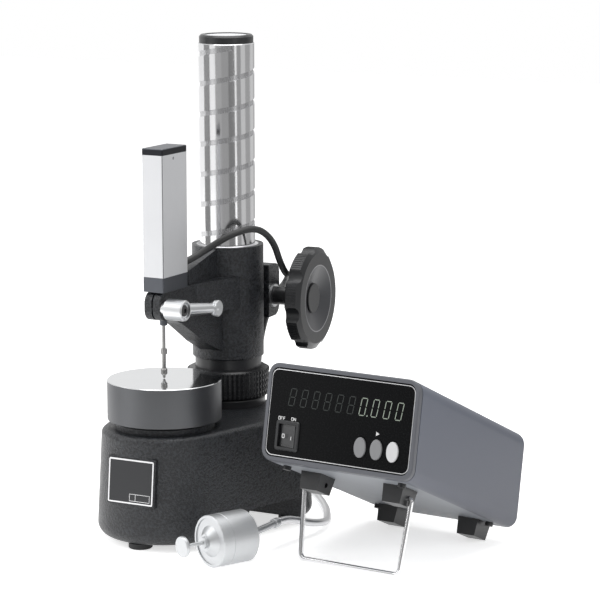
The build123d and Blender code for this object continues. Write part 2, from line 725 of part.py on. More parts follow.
def make_reader():
    z = CARRIER_Z + CARRIER_H / 2
    wall = HEAD_REAR - HEAD_WALL
    front = 2 * CARRIER_HALF_W + SCALE_T + READER_GAP
    head = block((-READER_HALF_W, READER_HALF_W), (front, wall - BOARD_T),
    (z - READER_H / 2, z + READER_H / 2))
    board = block((-BOARD_HALF_W, BOARD_HALF_W), (wall - BOARD_T, wall),
                  (HEAD_Z + BOARD_LOW, HEAD_TOP_Z - BOARD_TOP))
    return head + board


def make_gland():
    """Flange on the gauge's rear face and a sleeve that points along the cable's first run."""
    mouth, after = Vector(CABLE_ROUTE[0]), Vector(CABLE_ROUTE[1])
    outward = (after - mouth).normalized()
    foot = Plane(mouth - outward * GLAND_L, z_dir=outward)
    sleeve = foot * Pos(0, 0, GLAND_L / 2) * Cone(GLAND_R - 0.6, CABLE_R + 0.6, GLAND_L)
    reach = 2 * GLAND_L
    sleeve -= block((-reach, reach), (0, HEAD_REAR), (GLAND_Z - reach, GLAND_Z + reach))
    return along_rear(cylinder(GLAND_R, 0, GLAND_FLANGE_T)) + sleeve


def along_rear(part):
    """Stand an upright part on the gauge's rear face, pointing to +Y."""
    return Pos(0, HEAD_REAR, GLAND_Z) * Rot(-90, 0, 0) * part


def make_spindle():
    rod = cylinder(SPINDLE_R, SPINDLE_COLLAR_Z, SPINDLE_TOP_Z)
    rod += cylinder(SPINDLE_COLLAR_R, SPINDLE_COLLAR_Z, SPINDLE_COLLAR_Z + SPINDLE_COLLAR_H)
    return rod + cylinder(SPINDLE_LOWER_R, RUN_GAP + TIP_H, SPINDLE_COLLAR_Z)


def make_tip():
    foot = RUN_GAP
    top = foot + TIP_H
    side, ball = TIP_R, TIP_BALL_R
    tip = turned([(0, foot + ball), (ball, foot + ball), (ball, foot + 2.2), (side, foot + 4.2),
                  (side, top - 2.0),
                  (SPINDLE_LOWER_R, top - 1.2), (SPINDLE_LOWER_R, top), (0, top)])
    return tip + Pos(0, 0, foot + ball) * Sphere(ball)


def make_carrier():
    low = CARRIER_Z
    body = block((-CARRIER_HALF_W, CARRIER_HALF_W), (-CARRIER_HALF_W, 2 * CARRIER_HALF_W),
                 (low, low + CARRIER_H))
    return body - cylinder(SPINDLE_R + PRESS_GAP, low - 1, SPINDLE_TOP_Z)


def make_scale():
    middle = CARRIER_Z + CARRIER_H / 2
    y = 2 * CARRIER_HALF_W
    return block((-4, 4), (y, y + SCALE_T), (middle - SCALE_L / 2, middle + SCALE_L / 2))


def make_return_spring():
    top = HEAD_TOP_Z - SPIGOT_H
    return tube(SPRING_R, SPRING_R - SPRING_WALL, CARRIER_Z + CARRIER_H, top)


# Display counter
def counter_place(part):
    return Pos(COUNTER_X, COUNTER_Y, COUNTER_Z) * Rot(0, 0, COUNTER_YAW) * Rot(-COUNTER_TILT, 0, 0) * part


def raked(width, height, front, rear, radius=0.0, x=0.0, z=0.0):
    """Block whose front and rear faces lean forward by the rake, with rounded long edges."""
    half = height / 2
    points = [(front - (z - half) * RAKE_SLOPE, z - half), (rear - (z - half) * RAKE_SLOPE, z - half),
              (rear - (z + half) * RAKE_SLOPE, z + half), (front - (z + half) * RAKE_SLOPE, z + half)]
    body = side_plate(points, width / 2)
    if radius:
        body &= extrude(Plane.XZ * Pos(0, z) * RectangleRounded(width, height, radius), 2 * CASE_L, both=True)
    return Pos(x, 0, 0) * body


def panel_place(part, x, z, depth=0.0):
    """Put a part built on +Z onto the raked face, pointing out of it."""
    face = Plane(origin=(x, depth - z * RAKE_SLOPE, z), x_dir=(1, 0, 0),
                 z_dir=(0, -cos(radians(COUNTER_RAKE)), -sin(radians(COUNTER_RAKE))))
    return face.location * part


def plate_length():
    return BOTTOM_PLATE_INSET + CASE_H / 2 * RAKE_SLOPE, CASE_L - BOTTOM_PLATE_INSET + CASE_H / 2 * RAKE_SLOPE


def bottom_plate_shape(margin):
    front, rear = plate_length()
    half = BOTTOM_PLATE_W / 2 + margin
    z = -CASE_H / 2
    return block((-half, half), (front - margin, rear + margin), (z, z + CASE_WALL))


def make_case():
    shell = raked(CASE_W, CASE_H, BEZEL_T, CASE_L, CASE_R)
    inner_w, inner_h = CASE_W - 2 * CASE_WALL, CASE_H - 2 * CASE_WALL
    shell -= raked(inner_w, inner_h, BEZEL_T - 1, CASE_L + 1, CASE_R - CASE_WALL)
    cut = bottom_plate_shape(PRESS_GAP)
    shell -= cut + Pos(0, 0, -CASE_WALL) * cut
    return counter_place(shell)


def make_bottom_plate():
    return counter_place(bottom_plate_shape(0))


def make_bezel():
    frame = raked(CASE_W, CASE_H, 0, BEZEL_T, CASE_R)
    frame = chamfer(frame.faces().sort_by(Axis.Y)[0].edges(), 1.0)
    frame -= raked(WINDOW_W, WINDOW_H, -1, BEZEL_T + 1, WINDOW_R)
    return counter_place(frame)


def button_places():
    return [BUTTON_X + (step - 1) * BUTTON_PITCH for step in range(3)]


def button_shape(margin, length):
    return extrude(Ellipse(BUTTON_W / 2 + margin, BUTTON_H / 2 + margin), length)


def make_window():
    window = raked(WINDOW_W - 2 * PRESS_GAP, WINDOW_H - 2 * PRESS_GAP, WINDOW_SINK, WINDOW_SINK + WINDOW_T,
                   WINDOW_R)
    for x in button_places():
        window -= panel_place(Pos(0, 0, -8) * button_shape(RUN_GAP, 16), x, BUTTON_Z)
    half_w, half_h = SWITCH_W / 2, SWITCH_H / 2
    hole = Box(2 * (half_w - SWITCH_RIM + 1), 2 * (half_h - SWITCH_RIM + 1), 16)
    window -= panel_place(hole, SWITCH_X, SWITCH_Z)
    return counter_place(window)


def make_rear_panel():
    inner_w, inner_h = CASE_W - 2 * CASE_WALL - 2 * PRESS_GAP, CASE_H - 2 * CASE_WALL - 2 * PRESS_GAP
    rear = CASE_L - 1.5
    panel = raked(inner_w, inner_h, rear - PANEL_T, rear, CASE_R - CASE_WALL)
    inlet = raked(INLET_W, INLET_H, rear - 5, rear + 1, 0, INLET_X)
    return counter_place(panel - inlet)


def make_power_inlet():
    rear = CASE_L - 1.5
    inlet = raked(INLET_W - 2 * PRESS_GAP, INLET_H - 2 * PRESS_GAP, rear - 14, rear + 1.2, 0, INLET_X)
    inlet -= raked(INLET_W - 6, INLET_H - 6, rear - 11, rear + 3, 0, INLET_X)
    for step in (-1, 0, 1):
        inlet += raked(2, 4, rear - 12, rear - 6, 0, INLET_X + 6 * step, 2 if step == 0 else -2)
    return counter_place(inlet)


def make_display():
    depth = WINDOW_SINK + WINDOW_T
    tube_body = raked(DISPLAY_W, DISPLAY_H, depth, depth + DISPLAY_T, 0, DISPLAY_X, DISPLAY_Z)
    board = raked(WINDOW_W - 8, WINDOW_H - 8, depth + SWITCH_DEPTH, depth + SWITCH_DEPTH + 1.6)
    posts = Part()
    for side in (-1, 1):
        for z in (-1, 1):
            posts += raked(5, 5, depth, depth + SWITCH_DEPTH, 0, side * (WINDOW_W / 2 - 5),
                           z * (WINDOW_H / 2 - 9))
    spacer = raked(DISPLAY_W - 2 * DISPLAY_SIDE, 6, depth + DISPLAY_T, depth + SWITCH_DEPTH, 0,
                   DISPLAY_X, DISPLAY_Z)
    return counter_place(tube_body + spacer + board + posts)


def make_switch_body():
    depth = WINDOW_SINK
    rim = Pos(0, 0, SWITCH_RIM_OUT / 2) * Box(SWITCH_W, SWITCH_H, SWITCH_RIM_OUT)
    rim = fillet(rim.edges().filter_by(Axis.Z), 2.5)
    rim = chamfer(edges_at(rim, SWITCH_RIM_OUT), 0.8)
    inner_w, inner_h = SWITCH_W - 2 * SWITCH_RIM, SWITCH_H - 2 * SWITCH_RIM
    back = Pos(0, 0, -(SWITCH_DEPTH - 1) / 2) * Box(inner_w + 1.6, inner_h + 1.6, SWITCH_DEPTH - 1)
    body = rim + back - Pos(0, 0, -3) * Box(inner_w, inner_h, 12)
    return counter_place(panel_place(body, SWITCH_X, SWITCH_Z, depth))


def make_rocker():
    inner_w, inner_h = SWITCH_W - 2 * SWITCH_RIM - 2 * RUN_GAP, SWITCH_H - 2 * SWITCH_RIM - 2 * RUN_GAP
    half, out, mid = inner_w / 2, ROCKER_OUT, -1.0
    lean = half * tan(radians(ROCKER_TURN))
    points = [(-half + 0.4, mid + out - lean), (0, mid + out), (half - 0.4, mid + out + lean),
              (half - 2, -6), (-half + 2, -6)]
    key = extrude(make_face(Plane.XZ * Polyline(*points, close=True)), inner_h / 2, both=True)
    return counter_place(panel_place(key, SWITCH_X, SWITCH_Z, WINDOW_SINK))


def make_button(x):
    cap = button_shape(0, BUTTON_OUT)
    cap = fillet(edges_at(cap, BUTTON_OUT), 0.6)
    stem = Pos(0, 0, -BUTTON_STEM) * button_shape(-0.4, BUTTON_STEM)
    return counter_place(panel_place(cap + stem, x, BUTTON_Z, WINDOW_SINK))


def counter_foot(y):
    """Tapered foot with its top on the case's bottom, from its front edge rearwards."""
    top = -CASE_H / 2
    plan = Pos(0, y + FOOT_L / 2, top) * Rectangle(FOOT_W, FOOT_L)
    return extrude(plan, FOOT_H, dir=(0, 0, -1), taper=FOOT_TAPER)


def make_feet():
    front, rear = FRONT_FOOT_L_Y, REAR_FOOT_END_Y - FOOT_L + FOOT_H * tan(radians(FOOT_TAPER))
    feet = []
    for side in (-1, 1):
        foot = Pos(side * FOOT_X, 0, 0) * counter_foot(front)
        hole = cylinder(BAIL_WIRE_R + SHAFT_GAP, 0, BAIL_TOP_X)
        foot -= along_x(hole, (min(0, side) * BAIL_TOP_X, BAIL_PIN_Y, -CASE_H / 2 - BAIL_PIN_DROP))
        feet += [foot, Pos(side * FOOT_X, 0, 0) * counter_foot(rear)]
    return counter_place(Compound(feet))


def make_case_screws():
    screws = []
    front, rear = plate_length()
    for x in (-BOTTOM_PLATE_W / 2 + 6, BOTTOM_PLATE_W / 2 - 6):
        for y in (front + 8, rear - 8):
            screws.append(cylinder(3.5, -CASE_H / 2 - 3.5, -CASE_H / 2, (x, y)))
    return counter_place(Compound(screws))


def make_signal_socket():
    rear = CASE_L - 1.5
    y = rear - SOCKET_Z * RAKE_SLOPE
    ring = tube(SOCKET_R, PLUG_R - 1.5, 0, SOCKET_L)
    flat = Pos(SOCKET_X, y, SOCKET_Z) * Rot(-90 + COUNTER_RAKE, 0, 0) * ring
    return counter_place(flat)


# Wire bail under the counter's front feet
def bail_wire_route():
    z = -CASE_H / 2 - BAIL_PIN_DROP
    pin_world_z = COUNTER_Z + z * TILT_COS - BAIL_PIN_Y * TILT_SIN
    leg = (pin_world_z - FLOOR_Z - BAIL_WIRE_R) / cos(radians(BAIL_LEAN))
    swing = radians(COUNTER_TILT - BAIL_LEAN)
    y, low = BAIL_PIN_Y + leg * sin(swing), z - leg * cos(swing)
    inner = BAIL_TOP_X - BAIL_PIN_IN
    return [(-inner, BAIL_PIN_Y, z), (-BAIL_TOP_X, BAIL_PIN_Y, z), (-BAIL_FOOT_X, y, low),
            (BAIL_FOOT_X, y, low),
            (BAIL_TOP_X, BAIL_PIN_Y, z), (inner, BAIL_PIN_Y, z)]


def swept_wire(points, radii, radius):
    path = FilletPolyline(*points, radius=radii)
    return path, sweep((Plane(path @ 0, z_dir=path % 0) * Circle(radius)), path)


def make_bail():
    bend = BAIL_WIRE_R + 0.6
    path, wire = swept_wire(bail_wire_route(), [bend, BAIL_BEND_R, BAIL_BEND_R, bend], BAIL_WIRE_R)
    return counter_place(wire)


# Lifting release, which lies on the floor beside the base
def release_place(part):
    """Put a part built on +Z onto the release's axis, with 0 at its front face."""
    turn = radians(RELEASE_TURN)
    return Plane(origin=(RELEASE_X, RELEASE_Y, RELEASE_Z), x_dir=(cos(turn), -sin(turn), 0),
                 z_dir=(sin(turn), cos(turn), 0)).location * part


def make_release_barrel():
    inner = RELEASE_R - RELEASE_WALL
    barrel = turned([(0, RELEASE_L), (0, RELEASE_L - 4), (inner, RELEASE_L - 4), (inner, 0),
    (RELEASE_R - 0.6, 0),
                     (RELEASE_R, 0.6), (RELEASE_R, RELEASE_LINE - 0.4), (RELEASE_R - 0.5, RELEASE_LINE),
                     (RELEASE_R, RELEASE_LINE + 0.4), (RELEASE_R, RELEASE_L - 1.5),
                     (RELEASE_R - 1.5, RELEASE_L)])
    return release_place(barrel)


def make_release_nose():
    plug_r = RELEASE_R - RELEASE_WALL - PRESS_GAP
    bore = PLUNGER_R + SHAFT_GAP
    tip = -RELEASE_NOSE_L
    nose = turned([(bore, 4.0), (plug_r, 4.0), (plug_r, 1.0), (RELEASE_NOSE_R, 1.0),
                   (RELEASE_NOSE_TIP_R + 2.0, tip + 3.0), (RELEASE_NOSE_TIP_R, tip + 3.0),
                   (RELEASE_NOSE_TIP_R, tip),
                   (bore, tip)])
    return release_place(nose)


def make_plunger():
    rod = cylinder(PLUNGER_R, -PLUNGER_OUT - 1, 10)
    piston = cylinder(RELEASE_R - RELEASE_WALL - RUN_GAP, 4.0 + RUN_GAP, 4.0 + RUN_GAP + PISTON_T)
    return release_place(rod + piston)


def make_knob():
    low = -PLUNGER_OUT - KNOB_T / 2
    knob = cylinder(KNOB_R, low, low + KNOB_T)
    knob = fillet(knob.edges(), 1.1)
    return release_place(knob - cylinder(PLUNGER_R + PRESS_GAP, -PLUNGER_OUT - 1, low + KNOB_T + 1))


def make_release_spring():
    """Spring at its pressed length, against the barrel's rear wall."""
    low = 4.0 + 2 * RUN_GAP + PISTON_T + PLUNGER_TRAVEL
    return release_place(tube(9.0, 7.5, low, RELEASE_L - 4))


def fitting_points():
    """Middle of the barrel's rear face, the pipe's bend, and the point where the hose takes over."""
    on_axis = [release_place(Vertex(0, 0, RELEASE_L + out)).center() for out in (0, FITTING_BEND_AT)]
    return on_axis + [Vector(FERRULE_END)]


def make_fitting():
    """Nut on the barrel, with a bent pipe that ends in a ferrule."""
    rear, bend, end = fitting_points()
    nut = release_place(Pos(0, 0, RELEASE_L) * extrude(RegularPolygon(FITTING_NUT_R, 6), FITTING_NUT_L))
    pipe = swept_wire([rear, bend, end], FITTING_BEND_R, FITTING_R)[1]
    ferrule = cylinder(FERRULE_R, -FERRULE_L, 0)
    ferrule = chamfer(ferrule.edges().filter_by(GeomType.CIRCLE), 0.5)
    return nut + pipe + Plane(end, z_dir=end - bend).location * ferrule


# Free cords
def cord_radii(points):
    """One radius for each corner: 0.45 of the shorter run over the tangent of half the turn."""
    radii = []
    for before, here, after in zip(points, points[1:], points[2:]):
        run_in, run_out = Vector(here) - Vector(before), Vector(after) - Vector(here)
        half_turn = radians(run_in.get_angle(run_out)) / 2
        radii.append(0.45 * min(run_in.length, run_out.length) / tan(half_turn))
    return radii


def make_cord(name, points, radius):
    radii = cord_radii(points)
    path, cord = swept_wire(points, radii, radius)
    length = sum(edge.length for edge in path.edges())
    share = cord.volume / (pi * radius ** 2 * length)
    print(name, "length", round(length, 1), "volume share", round(share, 4), "radii",
          [round(value) for value in radii])
    return cord


def make_coil(radius, width, height, at):
    low = FLOOR_Z
    ring = tube(radius + width / 2, radius - width / 2, low, low + height, at)
    return fillet(ring.edges(), 2.0)


def plug_place(part):
    rear = CASE_L - 1.5
    y = rear - SOCKET_Z * RAKE_SLOPE
    return counter_place(Pos(SOCKET_X, y, SOCKET_Z) * Rot(-90 + COUNTER_RAKE, 0, 0) * part)


def make_plug():
    body = cylinder(PLUG_R, SOCKET_L, PLUG_L * 0.7)
    body += Pos(0, 0, PLUG_L * 0.85) * Cone(PLUG_R - 1, CABLE_R + 0.8, PLUG_L * 0.3)
    return plug_place(fillet(edges_at(body, SOCKET_L), 0.6))


def plug_point(out):
    """Point on the plug's axis, as three numbers."""
    at = plug_place(Vertex(0, 0, out)).center()
    return at.X, at.Y, at.Z


def make_cable_run():
    return make_cord("signal_cable_run", CABLE_ROUTE, CABLE_R)


def make_cable_tail():
    route = TAIL_ROUTE + [plug_point(PLUG_L + TAIL_LEAD), plug_point(PLUG_L)]
    return make_cord("signal_cable_tail", route, CABLE_R)


def make_hose():
    bend, end = fitting_points()[1:]
    lead = end + (end - bend).normalized() * HOSE_LEAD
    return make_cord("release_hose", [FERRULE_END, (lead.X, lead.Y, lead.Z)] + HOSE_ROUTE, HOSE_R)


def make_cable_coil():
    return make_coil(CABLE_COIL_R, CABLE_COIL_W, CABLE_COIL_H, CABLE_COIL_AT)


def make_hose_coil():
    return make_coil(HOSE_COIL_R, HOSE_COIL_W, HOSE_COIL_H, HOSE_COIL_AT)


def make_hose_end():
    x, y = HOSE_COIL_AT
    body = turned([(0, 0), (HOSE_R, 0), (HOSE_R, 5), (HOSE_R - 0.8, 6), (HOSE_R - 0.8, HOSE_END_L),
                   (0, HOSE_END_L)])
    at = (x - HOSE_COIL_R, y - HOSE_END_BACK, FLOOR_Z + HOSE_R)
    return Pos(*at) * Rot(90, 0, 0) * body


def build():
    makers = {
        "base_casting": make_base, "base_feet": make_base_feet, "platen": make_platen,
        "platen_pad": make_platen_pad, "nameplate": make_nameplate, "column": make_column,
        "base_collar": make_base_collar, "column_cap": make_column_cap, "cap_disc": make_cap_disc,
        "elevating_ring": make_elevating_ring, "groove_key": make_groove_key,
        "bracket_casting": make_bracket, "clamp_bush": make_clamp_bush,
        "clamp_wheel": make_wheel, "wheel_cap": make_wheel_cap, "clamp_screw": make_clamp_screw,
        "clamp_stud": make_clamp_stud, "clamp_lever": make_lever,
        "lever_screw": make_lever_screw, "gauge_housing": make_housing, "gauge_base_block": make_base_block,
        "gauge_top_cap": make_top_cap, "gauge_stem": make_stem, "stem_wiper": make_wiper,
        "reader_head": make_reader, "gauge_cable_gland": make_gland, "spindle_rod": make_spindle,
        "contact_tip": make_tip, "scale_carrier": make_carrier, "glass_scale": make_scale,
        "return_spring": make_return_spring, "counter_case": make_case,
        "counter_bottom_plate": make_bottom_plate, "counter_bezel": make_bezel, "counter_window": make_window,
              "counter_rear_panel": make_rear_panel, "power_inlet": make_power_inlet,
              "display_module": make_display,
        "switch_body": make_switch_body, "power_rocker": make_rocker, "counter_feet": make_feet,
        "case_screws": make_case_screws, "signal_socket": make_signal_socket, "counter_bail": make_bail,
        "release_barrel": make_release_barrel, "release_nose": make_release_nose, "plunger": make_plunger,
        "plunger_knob": make_knob, "release_spring": make_release_spring, "release_fitting": make_fitting,
        "signal_plug": make_plug, "signal_cable_run": make_cable_run, "signal_cable_tail": make_cable_tail,
        "release_hose": make_hose, "signal_cable_coil": make_cable_coil, "hose_coil": make_hose_coil,
        "hose_end_fitting": make_hose_end}
    for name, x in zip(("button_function", "button_shift", "button_reset"), button_places()):
        makers[name] = lambda x=x: make_button(x)
    return {name: maker() for name, maker in makers.items()}


def save(parts):
    os.makedirs("parts", exist_ok=True)
    for name, part in parts.items():
        export_step(part, f"parts/{name}.step")


save(build())
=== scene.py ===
# %% [markdown]
# A digital length gauge: a gauge head on a column stand, its display counter and its lifting release.
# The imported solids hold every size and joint, so this file adds what a solid can't: finishes, printed
# marks, the knurl, two flexible cords, a floor and light.

# %% Load the solids
import json
from math import ceil, cos, pi, radians, sin

import bmesh
import bpy
from mathutils import Matrix, Vector


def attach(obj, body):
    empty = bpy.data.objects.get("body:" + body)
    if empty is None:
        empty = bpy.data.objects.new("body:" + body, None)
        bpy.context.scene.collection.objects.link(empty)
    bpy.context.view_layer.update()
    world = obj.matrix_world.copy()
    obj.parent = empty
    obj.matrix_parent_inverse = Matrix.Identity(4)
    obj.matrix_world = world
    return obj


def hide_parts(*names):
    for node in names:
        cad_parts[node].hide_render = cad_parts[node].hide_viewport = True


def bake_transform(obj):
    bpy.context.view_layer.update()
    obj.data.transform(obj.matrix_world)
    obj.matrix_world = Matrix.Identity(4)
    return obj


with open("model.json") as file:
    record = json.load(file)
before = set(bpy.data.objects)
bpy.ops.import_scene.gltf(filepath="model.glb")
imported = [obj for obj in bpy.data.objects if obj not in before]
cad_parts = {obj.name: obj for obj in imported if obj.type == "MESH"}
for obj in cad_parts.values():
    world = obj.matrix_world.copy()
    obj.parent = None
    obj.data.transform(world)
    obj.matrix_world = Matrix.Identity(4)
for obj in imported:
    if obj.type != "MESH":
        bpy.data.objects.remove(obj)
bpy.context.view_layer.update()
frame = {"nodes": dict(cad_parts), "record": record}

MM = 0.001
COLUMN_AT_Y = 0.1113
WHEEL_TURN = radians(5.5)
WHEEL_BACK = 0.035
WHEEL_Z = 0.053

# %% [markdown]
# The photograph was taken from the right and a little above, from some way off, so its lines hardly converge.
# A long lens far away gives that. The rotation is written out as the three axes of the camera.

# %% Camera
CAMERA_BACK = Vector((0.4734, -0.8636, 0.1733))
CAMERA_RIGHT = Vector((0.877, 0.4807, 0.0))
CAMERA_ROLL = -0.13
CAMERA_DISTANCE, CAMERA_LENS = 2.3856, 164.8
LOOK_AT = CAMERA_RIGHT * 0.11862 + Vector((0, 0, 0.06923))


def linked(name, data):
    """A new object in the scene that shows this data."""
    piece = bpy.data.objects.new(name, data)
    bpy.context.collection.objects.link(piece)
    return piece


def place_camera():
    back = CAMERA_BACK.normalized()
    right = CAMERA_RIGHT.normalized()
    up = back.cross(right).normalized()
    turn = Matrix((right, up, back)).transposed() @ Matrix.Rotation(radians(CAMERA_ROLL), 3, "Z")
    data = bpy.data.cameras.new("view_camera")
    data.sensor_width = 36.0
    data.lens = CAMERA_LENS
    data.clip_end = 20.0
    camera = linked("view_camera", data)
    camera.matrix_world = Matrix.Translation(LOOK_AT + back * CAMERA_DISTANCE) @ turn.to_4x4()
    bpy.context.scene.camera = camera


place_camera()
bpy.context.scene.view_settings.view_transform = "Standard"
print("camera lens", CAMERA_LENS, "mm at", CAMERA_DISTANCE, "m")

# %% [markdown]
# Shader maths is easier to read as sums than as boxes and wires.
# Value wraps a socket, so that 1 - mask or mask * 0.3 adds the Math node by itself.

# %% A socket that can be reckoned with


class Value:
    """A socket that can be added, taken away, multiplied and raised to a power."""

    def __init__(self, finish, socket):
        self.finish, self.socket = finish, socket

    def _maths(self, operation, other, swap=False):
        pair = [other, self] if swap else [self, other]
        return self.finish.node("ShaderNodeMath", {"operation": operation}, pair)

    def __add__(self, other): return self._maths("ADD", other)
    def __radd__(self, other): return self._maths("ADD", other, True)
    def __sub__(self, other): return self._maths("SUBTRACT", other)
    def __rsub__(self, other): return self._maths("SUBTRACT", other, True)
    def __mul__(self, other): return self._maths("MULTIPLY", other)
    def __rmul__(self, other): return self._maths("MULTIPLY", other, True)
    def __pow__(self, other): return self._maths("POWER", other)


# %% [markdown]
# Finish holds one material and adds any other node in one call. Its small methods are the few things that
# every finish below needs: a place on the piece, a noise, a step between two values, a mix and a bump.

# %% A material built node by node


class Finish:
    """One material, built node by node."""

    def __init__(self, name):
        self.material = bpy.data.materials.new(name)
        self.material.use_nodes = True
        self.tree = self.material.node_tree
        self.shader = self.tree.nodes["Principled BSDF"]

    def fill(self, socket, value):
        if isinstance(value, Value):
            self.tree.links.new(value.socket, socket)
        elif hasattr(socket.default_value, "__len__") and len(socket.default_value) == 4:
            socket.default_value = (*value[:3], 1.0)
        else:
            socket.default_value = value

    def node(self, kind, settings=None, sockets=(), out=0):
        made = self.tree.nodes.new(kind)
        for key, value in (settings or {}).items():
            setattr(made, key, value)
        items = sockets.items() if isinstance(sockets, dict) else enumerate(sockets)
        for key, value in items:
            self.fill(made.inputs[key], value)
        return Value(self, made.outputs[out])

    def place(self):
        return self.node("ShaderNodeTexCoord", out="Object")

    def axes(self):
        """The three Object coordinates as values, in metres."""
        split = self.tree.nodes.new("ShaderNodeSeparateXYZ")
        self.tree.links.new(self.place().socket, split.inputs[0])
        return [Value(self, split.outputs[k]) for k in range(3)]

    def near(self, value, middle, half):
        """1 where value is within half of the middle, else 0."""
        return self.node("ShaderNodeMath", {"operation": "COMPARE"}, [value, middle, half])

    def above(self, value, edge):
        """1 where value is past the edge, else 0."""
        return self.node("ShaderNodeMath", {"operation": "GREATER_THAN"}, [value, edge])

    def most(self, *values):
        """The largest of several values."""
        largest = values[0]
        for value in values[1:]:
            largest = self.node("ShaderNodeMath", {"operation": "MAXIMUM"}, [largest, value])
        return largest

    def noise(self, scale, detail=2.0, rough=0.5, stretch=None):
        at = self.place()
        if stretch:
            at = self.node("ShaderNodeMapping", {}, {"Vector": at, "Scale": stretch})
        return self.node("ShaderNodeTexNoise", {}, {"Vector": at, "Scale": scale, "Detail": detail,
                                                    "Roughness": rough})

    def steps(self, value, low, high):
        """0 below low, 1 above high, straight between."""
        return self.node("ShaderNodeMapRange", {}, {"Value": value, "From Min": low, "From Max": high})

    def mix(self, factor, first, second):
        return self.node("ShaderNodeMix", {"data_type": "RGBA"}, {0: factor, 6: first, 7: second}, out=2)

    def bump(self, height, depth, strength=1.0):
        return self.node("ShaderNodeBump", {}, {"Height": height, "Distance": depth, "Strength": strength})

    def set(self, **values):
        """Shader sockets by name, with _ for a space."""
        for key, value in values.items():
            self.fill(self.shader.inputs[key.replace("_", " ")], value)
        return self.material


# %% [markdown]
# The stand is cast iron under black wrinkle paint: it dries in tiny worm-like ridges that catch the light.
# A fine noise gives the ridges, and their tops are painted lighter, a painted highlight where they catch the
# light; a coarser noise gives the unevenness of the casting under them. An image of paint would need a seam
# somewhere on these rounded castings, and noise in object coordinates has none.

# %% Wrinkle paint


def from_column(made, x, y):
    """Distance from the column's axis."""
    return (x * x + (y - COLUMN_AT_Y) * (y - COLUMN_AT_Y)) ** 0.5


def wrinkle_paint():
    """Black wrinkle paint, left off on the cone cut into the top of the bracket's bore."""
    made = Finish("black_wrinkle")
    x, y, z = made.axes()
    cone_bottom, cone_edge = 0.1018, 0.0279
    bare = made.above(z, cone_bottom) * (1 - made.above(from_column(made, x, y), cone_edge))
    ridges = made.noise(480, 3, 0.62)
    ridge_shape = made.steps(ridges, 0.42, 0.6)
    casting = made.noise(60, 2, 0.5)
    # The ridge tops get the lighter colour: a painted highlight, on top of the bump.
    paint = made.mix(ridge_shape, (0.0045, 0.005, 0.0065), (0.021, 0.0235, 0.028))
    colour = made.mix(bare, paint, (0.75, 0.75, 0.76))
    return made.set(Base_Color=colour, Roughness=0.28 + casting * 0.16, Metallic=bare,
                    Normal=made.bump((ridge_shape + casting * 1.5) * (1 - bare), 0.0003, 0.9))


# %% [markdown]
# The counter's case is sprayed with blue-grey enamel, which dries with a very fine orange-peel grain.
# Towards the foot its colour is darkened by height as painted shade. The plate under it is lighter.

# %% Enamel of the counter


def case_paint():
    """Blue-grey enamel with a fine orange-peel grain, and painted shade low on the case."""
    made = Finish("case_paint")
    grain = made.noise(1300, 2, 0.5)
    cloud = made.noise(14, 2, 0.5)
    x, y, z = made.axes()
    case_foot, case_middle = -0.12, 0.03
    # Painted shade: the colour darkens towards the case's foot.
    low = made.steps(z, case_foot, case_middle)
    worn = made.mix(cloud, (0.105, 0.116, 0.148), (0.118, 0.13, 0.164))
    colour = made.mix(low, (0.085, 0.092, 0.116), worn)
    return made.set(Base_Color=colour, Roughness=0.36 + grain * 0.12, Normal=made.bump(grain, 0.00007, 0.5))


def light_paint():
    made = Finish("bottom_grey")
    grain = made.noise(900, 2, 0.5)
    cloud = made.noise(20, 2, 0.5)
    colour = made.mix(cloud, (0.26, 0.275, 0.3), (0.31, 0.325, 0.35))
    return made.set(Base_Color=colour, Roughness=0.45 + grain * 0.1, Normal=made.bump(grain, 0.00005, 0.4))


# %% [markdown]
# The hand wheel is moulded in black. Its hollow is painted greyer as a painted reflection, with a thin
# painted highlight ring round it.
# The wheel stands turned a little about the column, so the mask first turns the coordinates back to it.

# %% Plastic of the hand wheel


def wheel_plastic():
    """Moulded black with a fine grain; the hollow gets a greyer painted reflection and a painted highlight
    ring.
    """
    made = Finish("black_plastic")
    grain = made.noise(1200, 2, 0.5)
    cloud = made.noise(30, 2, 0.5)
    x, y, z = made.axes()
    along = x * cos(WHEEL_TURN) + (y - COLUMN_AT_Y) * sin(WHEEL_TURN)
    across = (y - COLUMN_AT_Y) * cos(WHEEL_TURN) - x * sin(WHEEL_TURN) - WHEEL_BACK
    radius = (across * across + (z - WHEEL_Z) * (z - WHEEL_Z)) ** 0.5
    face, rim, hub, hollow, glint_radius, glint_half = 0.066, 0.047, 0.0134, 0.0298, 0.0301, 0.0005
    front = made.above(along, face) * (1 - made.above(radius, rim))
    dish_reflection = front * made.above(radius, hub) * (1 - made.above(radius, hollow))
    line = front * made.near(radius, glint_radius, glint_half)
    colour = made.mix(cloud, (0.009, 0.0095, 0.0108), (0.015, 0.0155, 0.017))
    # Painted reflection in the hollow, and a painted highlight on the ring round it.
    colour = made.mix(dish_reflection, colour, (0.042, 0.043, 0.048))
    colour = made.mix(line, colour, (0.22, 0.22, 0.23))
    return made.set(Base_Color=colour, Roughness=0.28 + grain * 0.12, Normal=made.bump(grain, 0.00004, 0.5))


# %% [markdown]
# The bright parts differ in how they were cut: the column is ground and chromed, the platen lapped,
# the lever and the release turned or satin blasted. Stretched noise gives the fine lines of turning.

# %% Common finishes


def metal(name, colour, shade, roughness, lines=(1, 1, 1), scale=900.0, depth=0.00001):
    """Metal with fine lines of machining, stretched where the cutter ran."""
    made = Finish(name)
    cut = made.noise(scale, 3, 0.55, lines)
    stain = made.noise(25, 3, 0.6)
    tone = made.mix(stain, colour, shade)
    return made.set(Base_Color=tone, Metallic=1.0, Roughness=roughness + cut * 0.08 + stain * 0.04,
                    Normal=made.bump(cut, depth, 0.4))


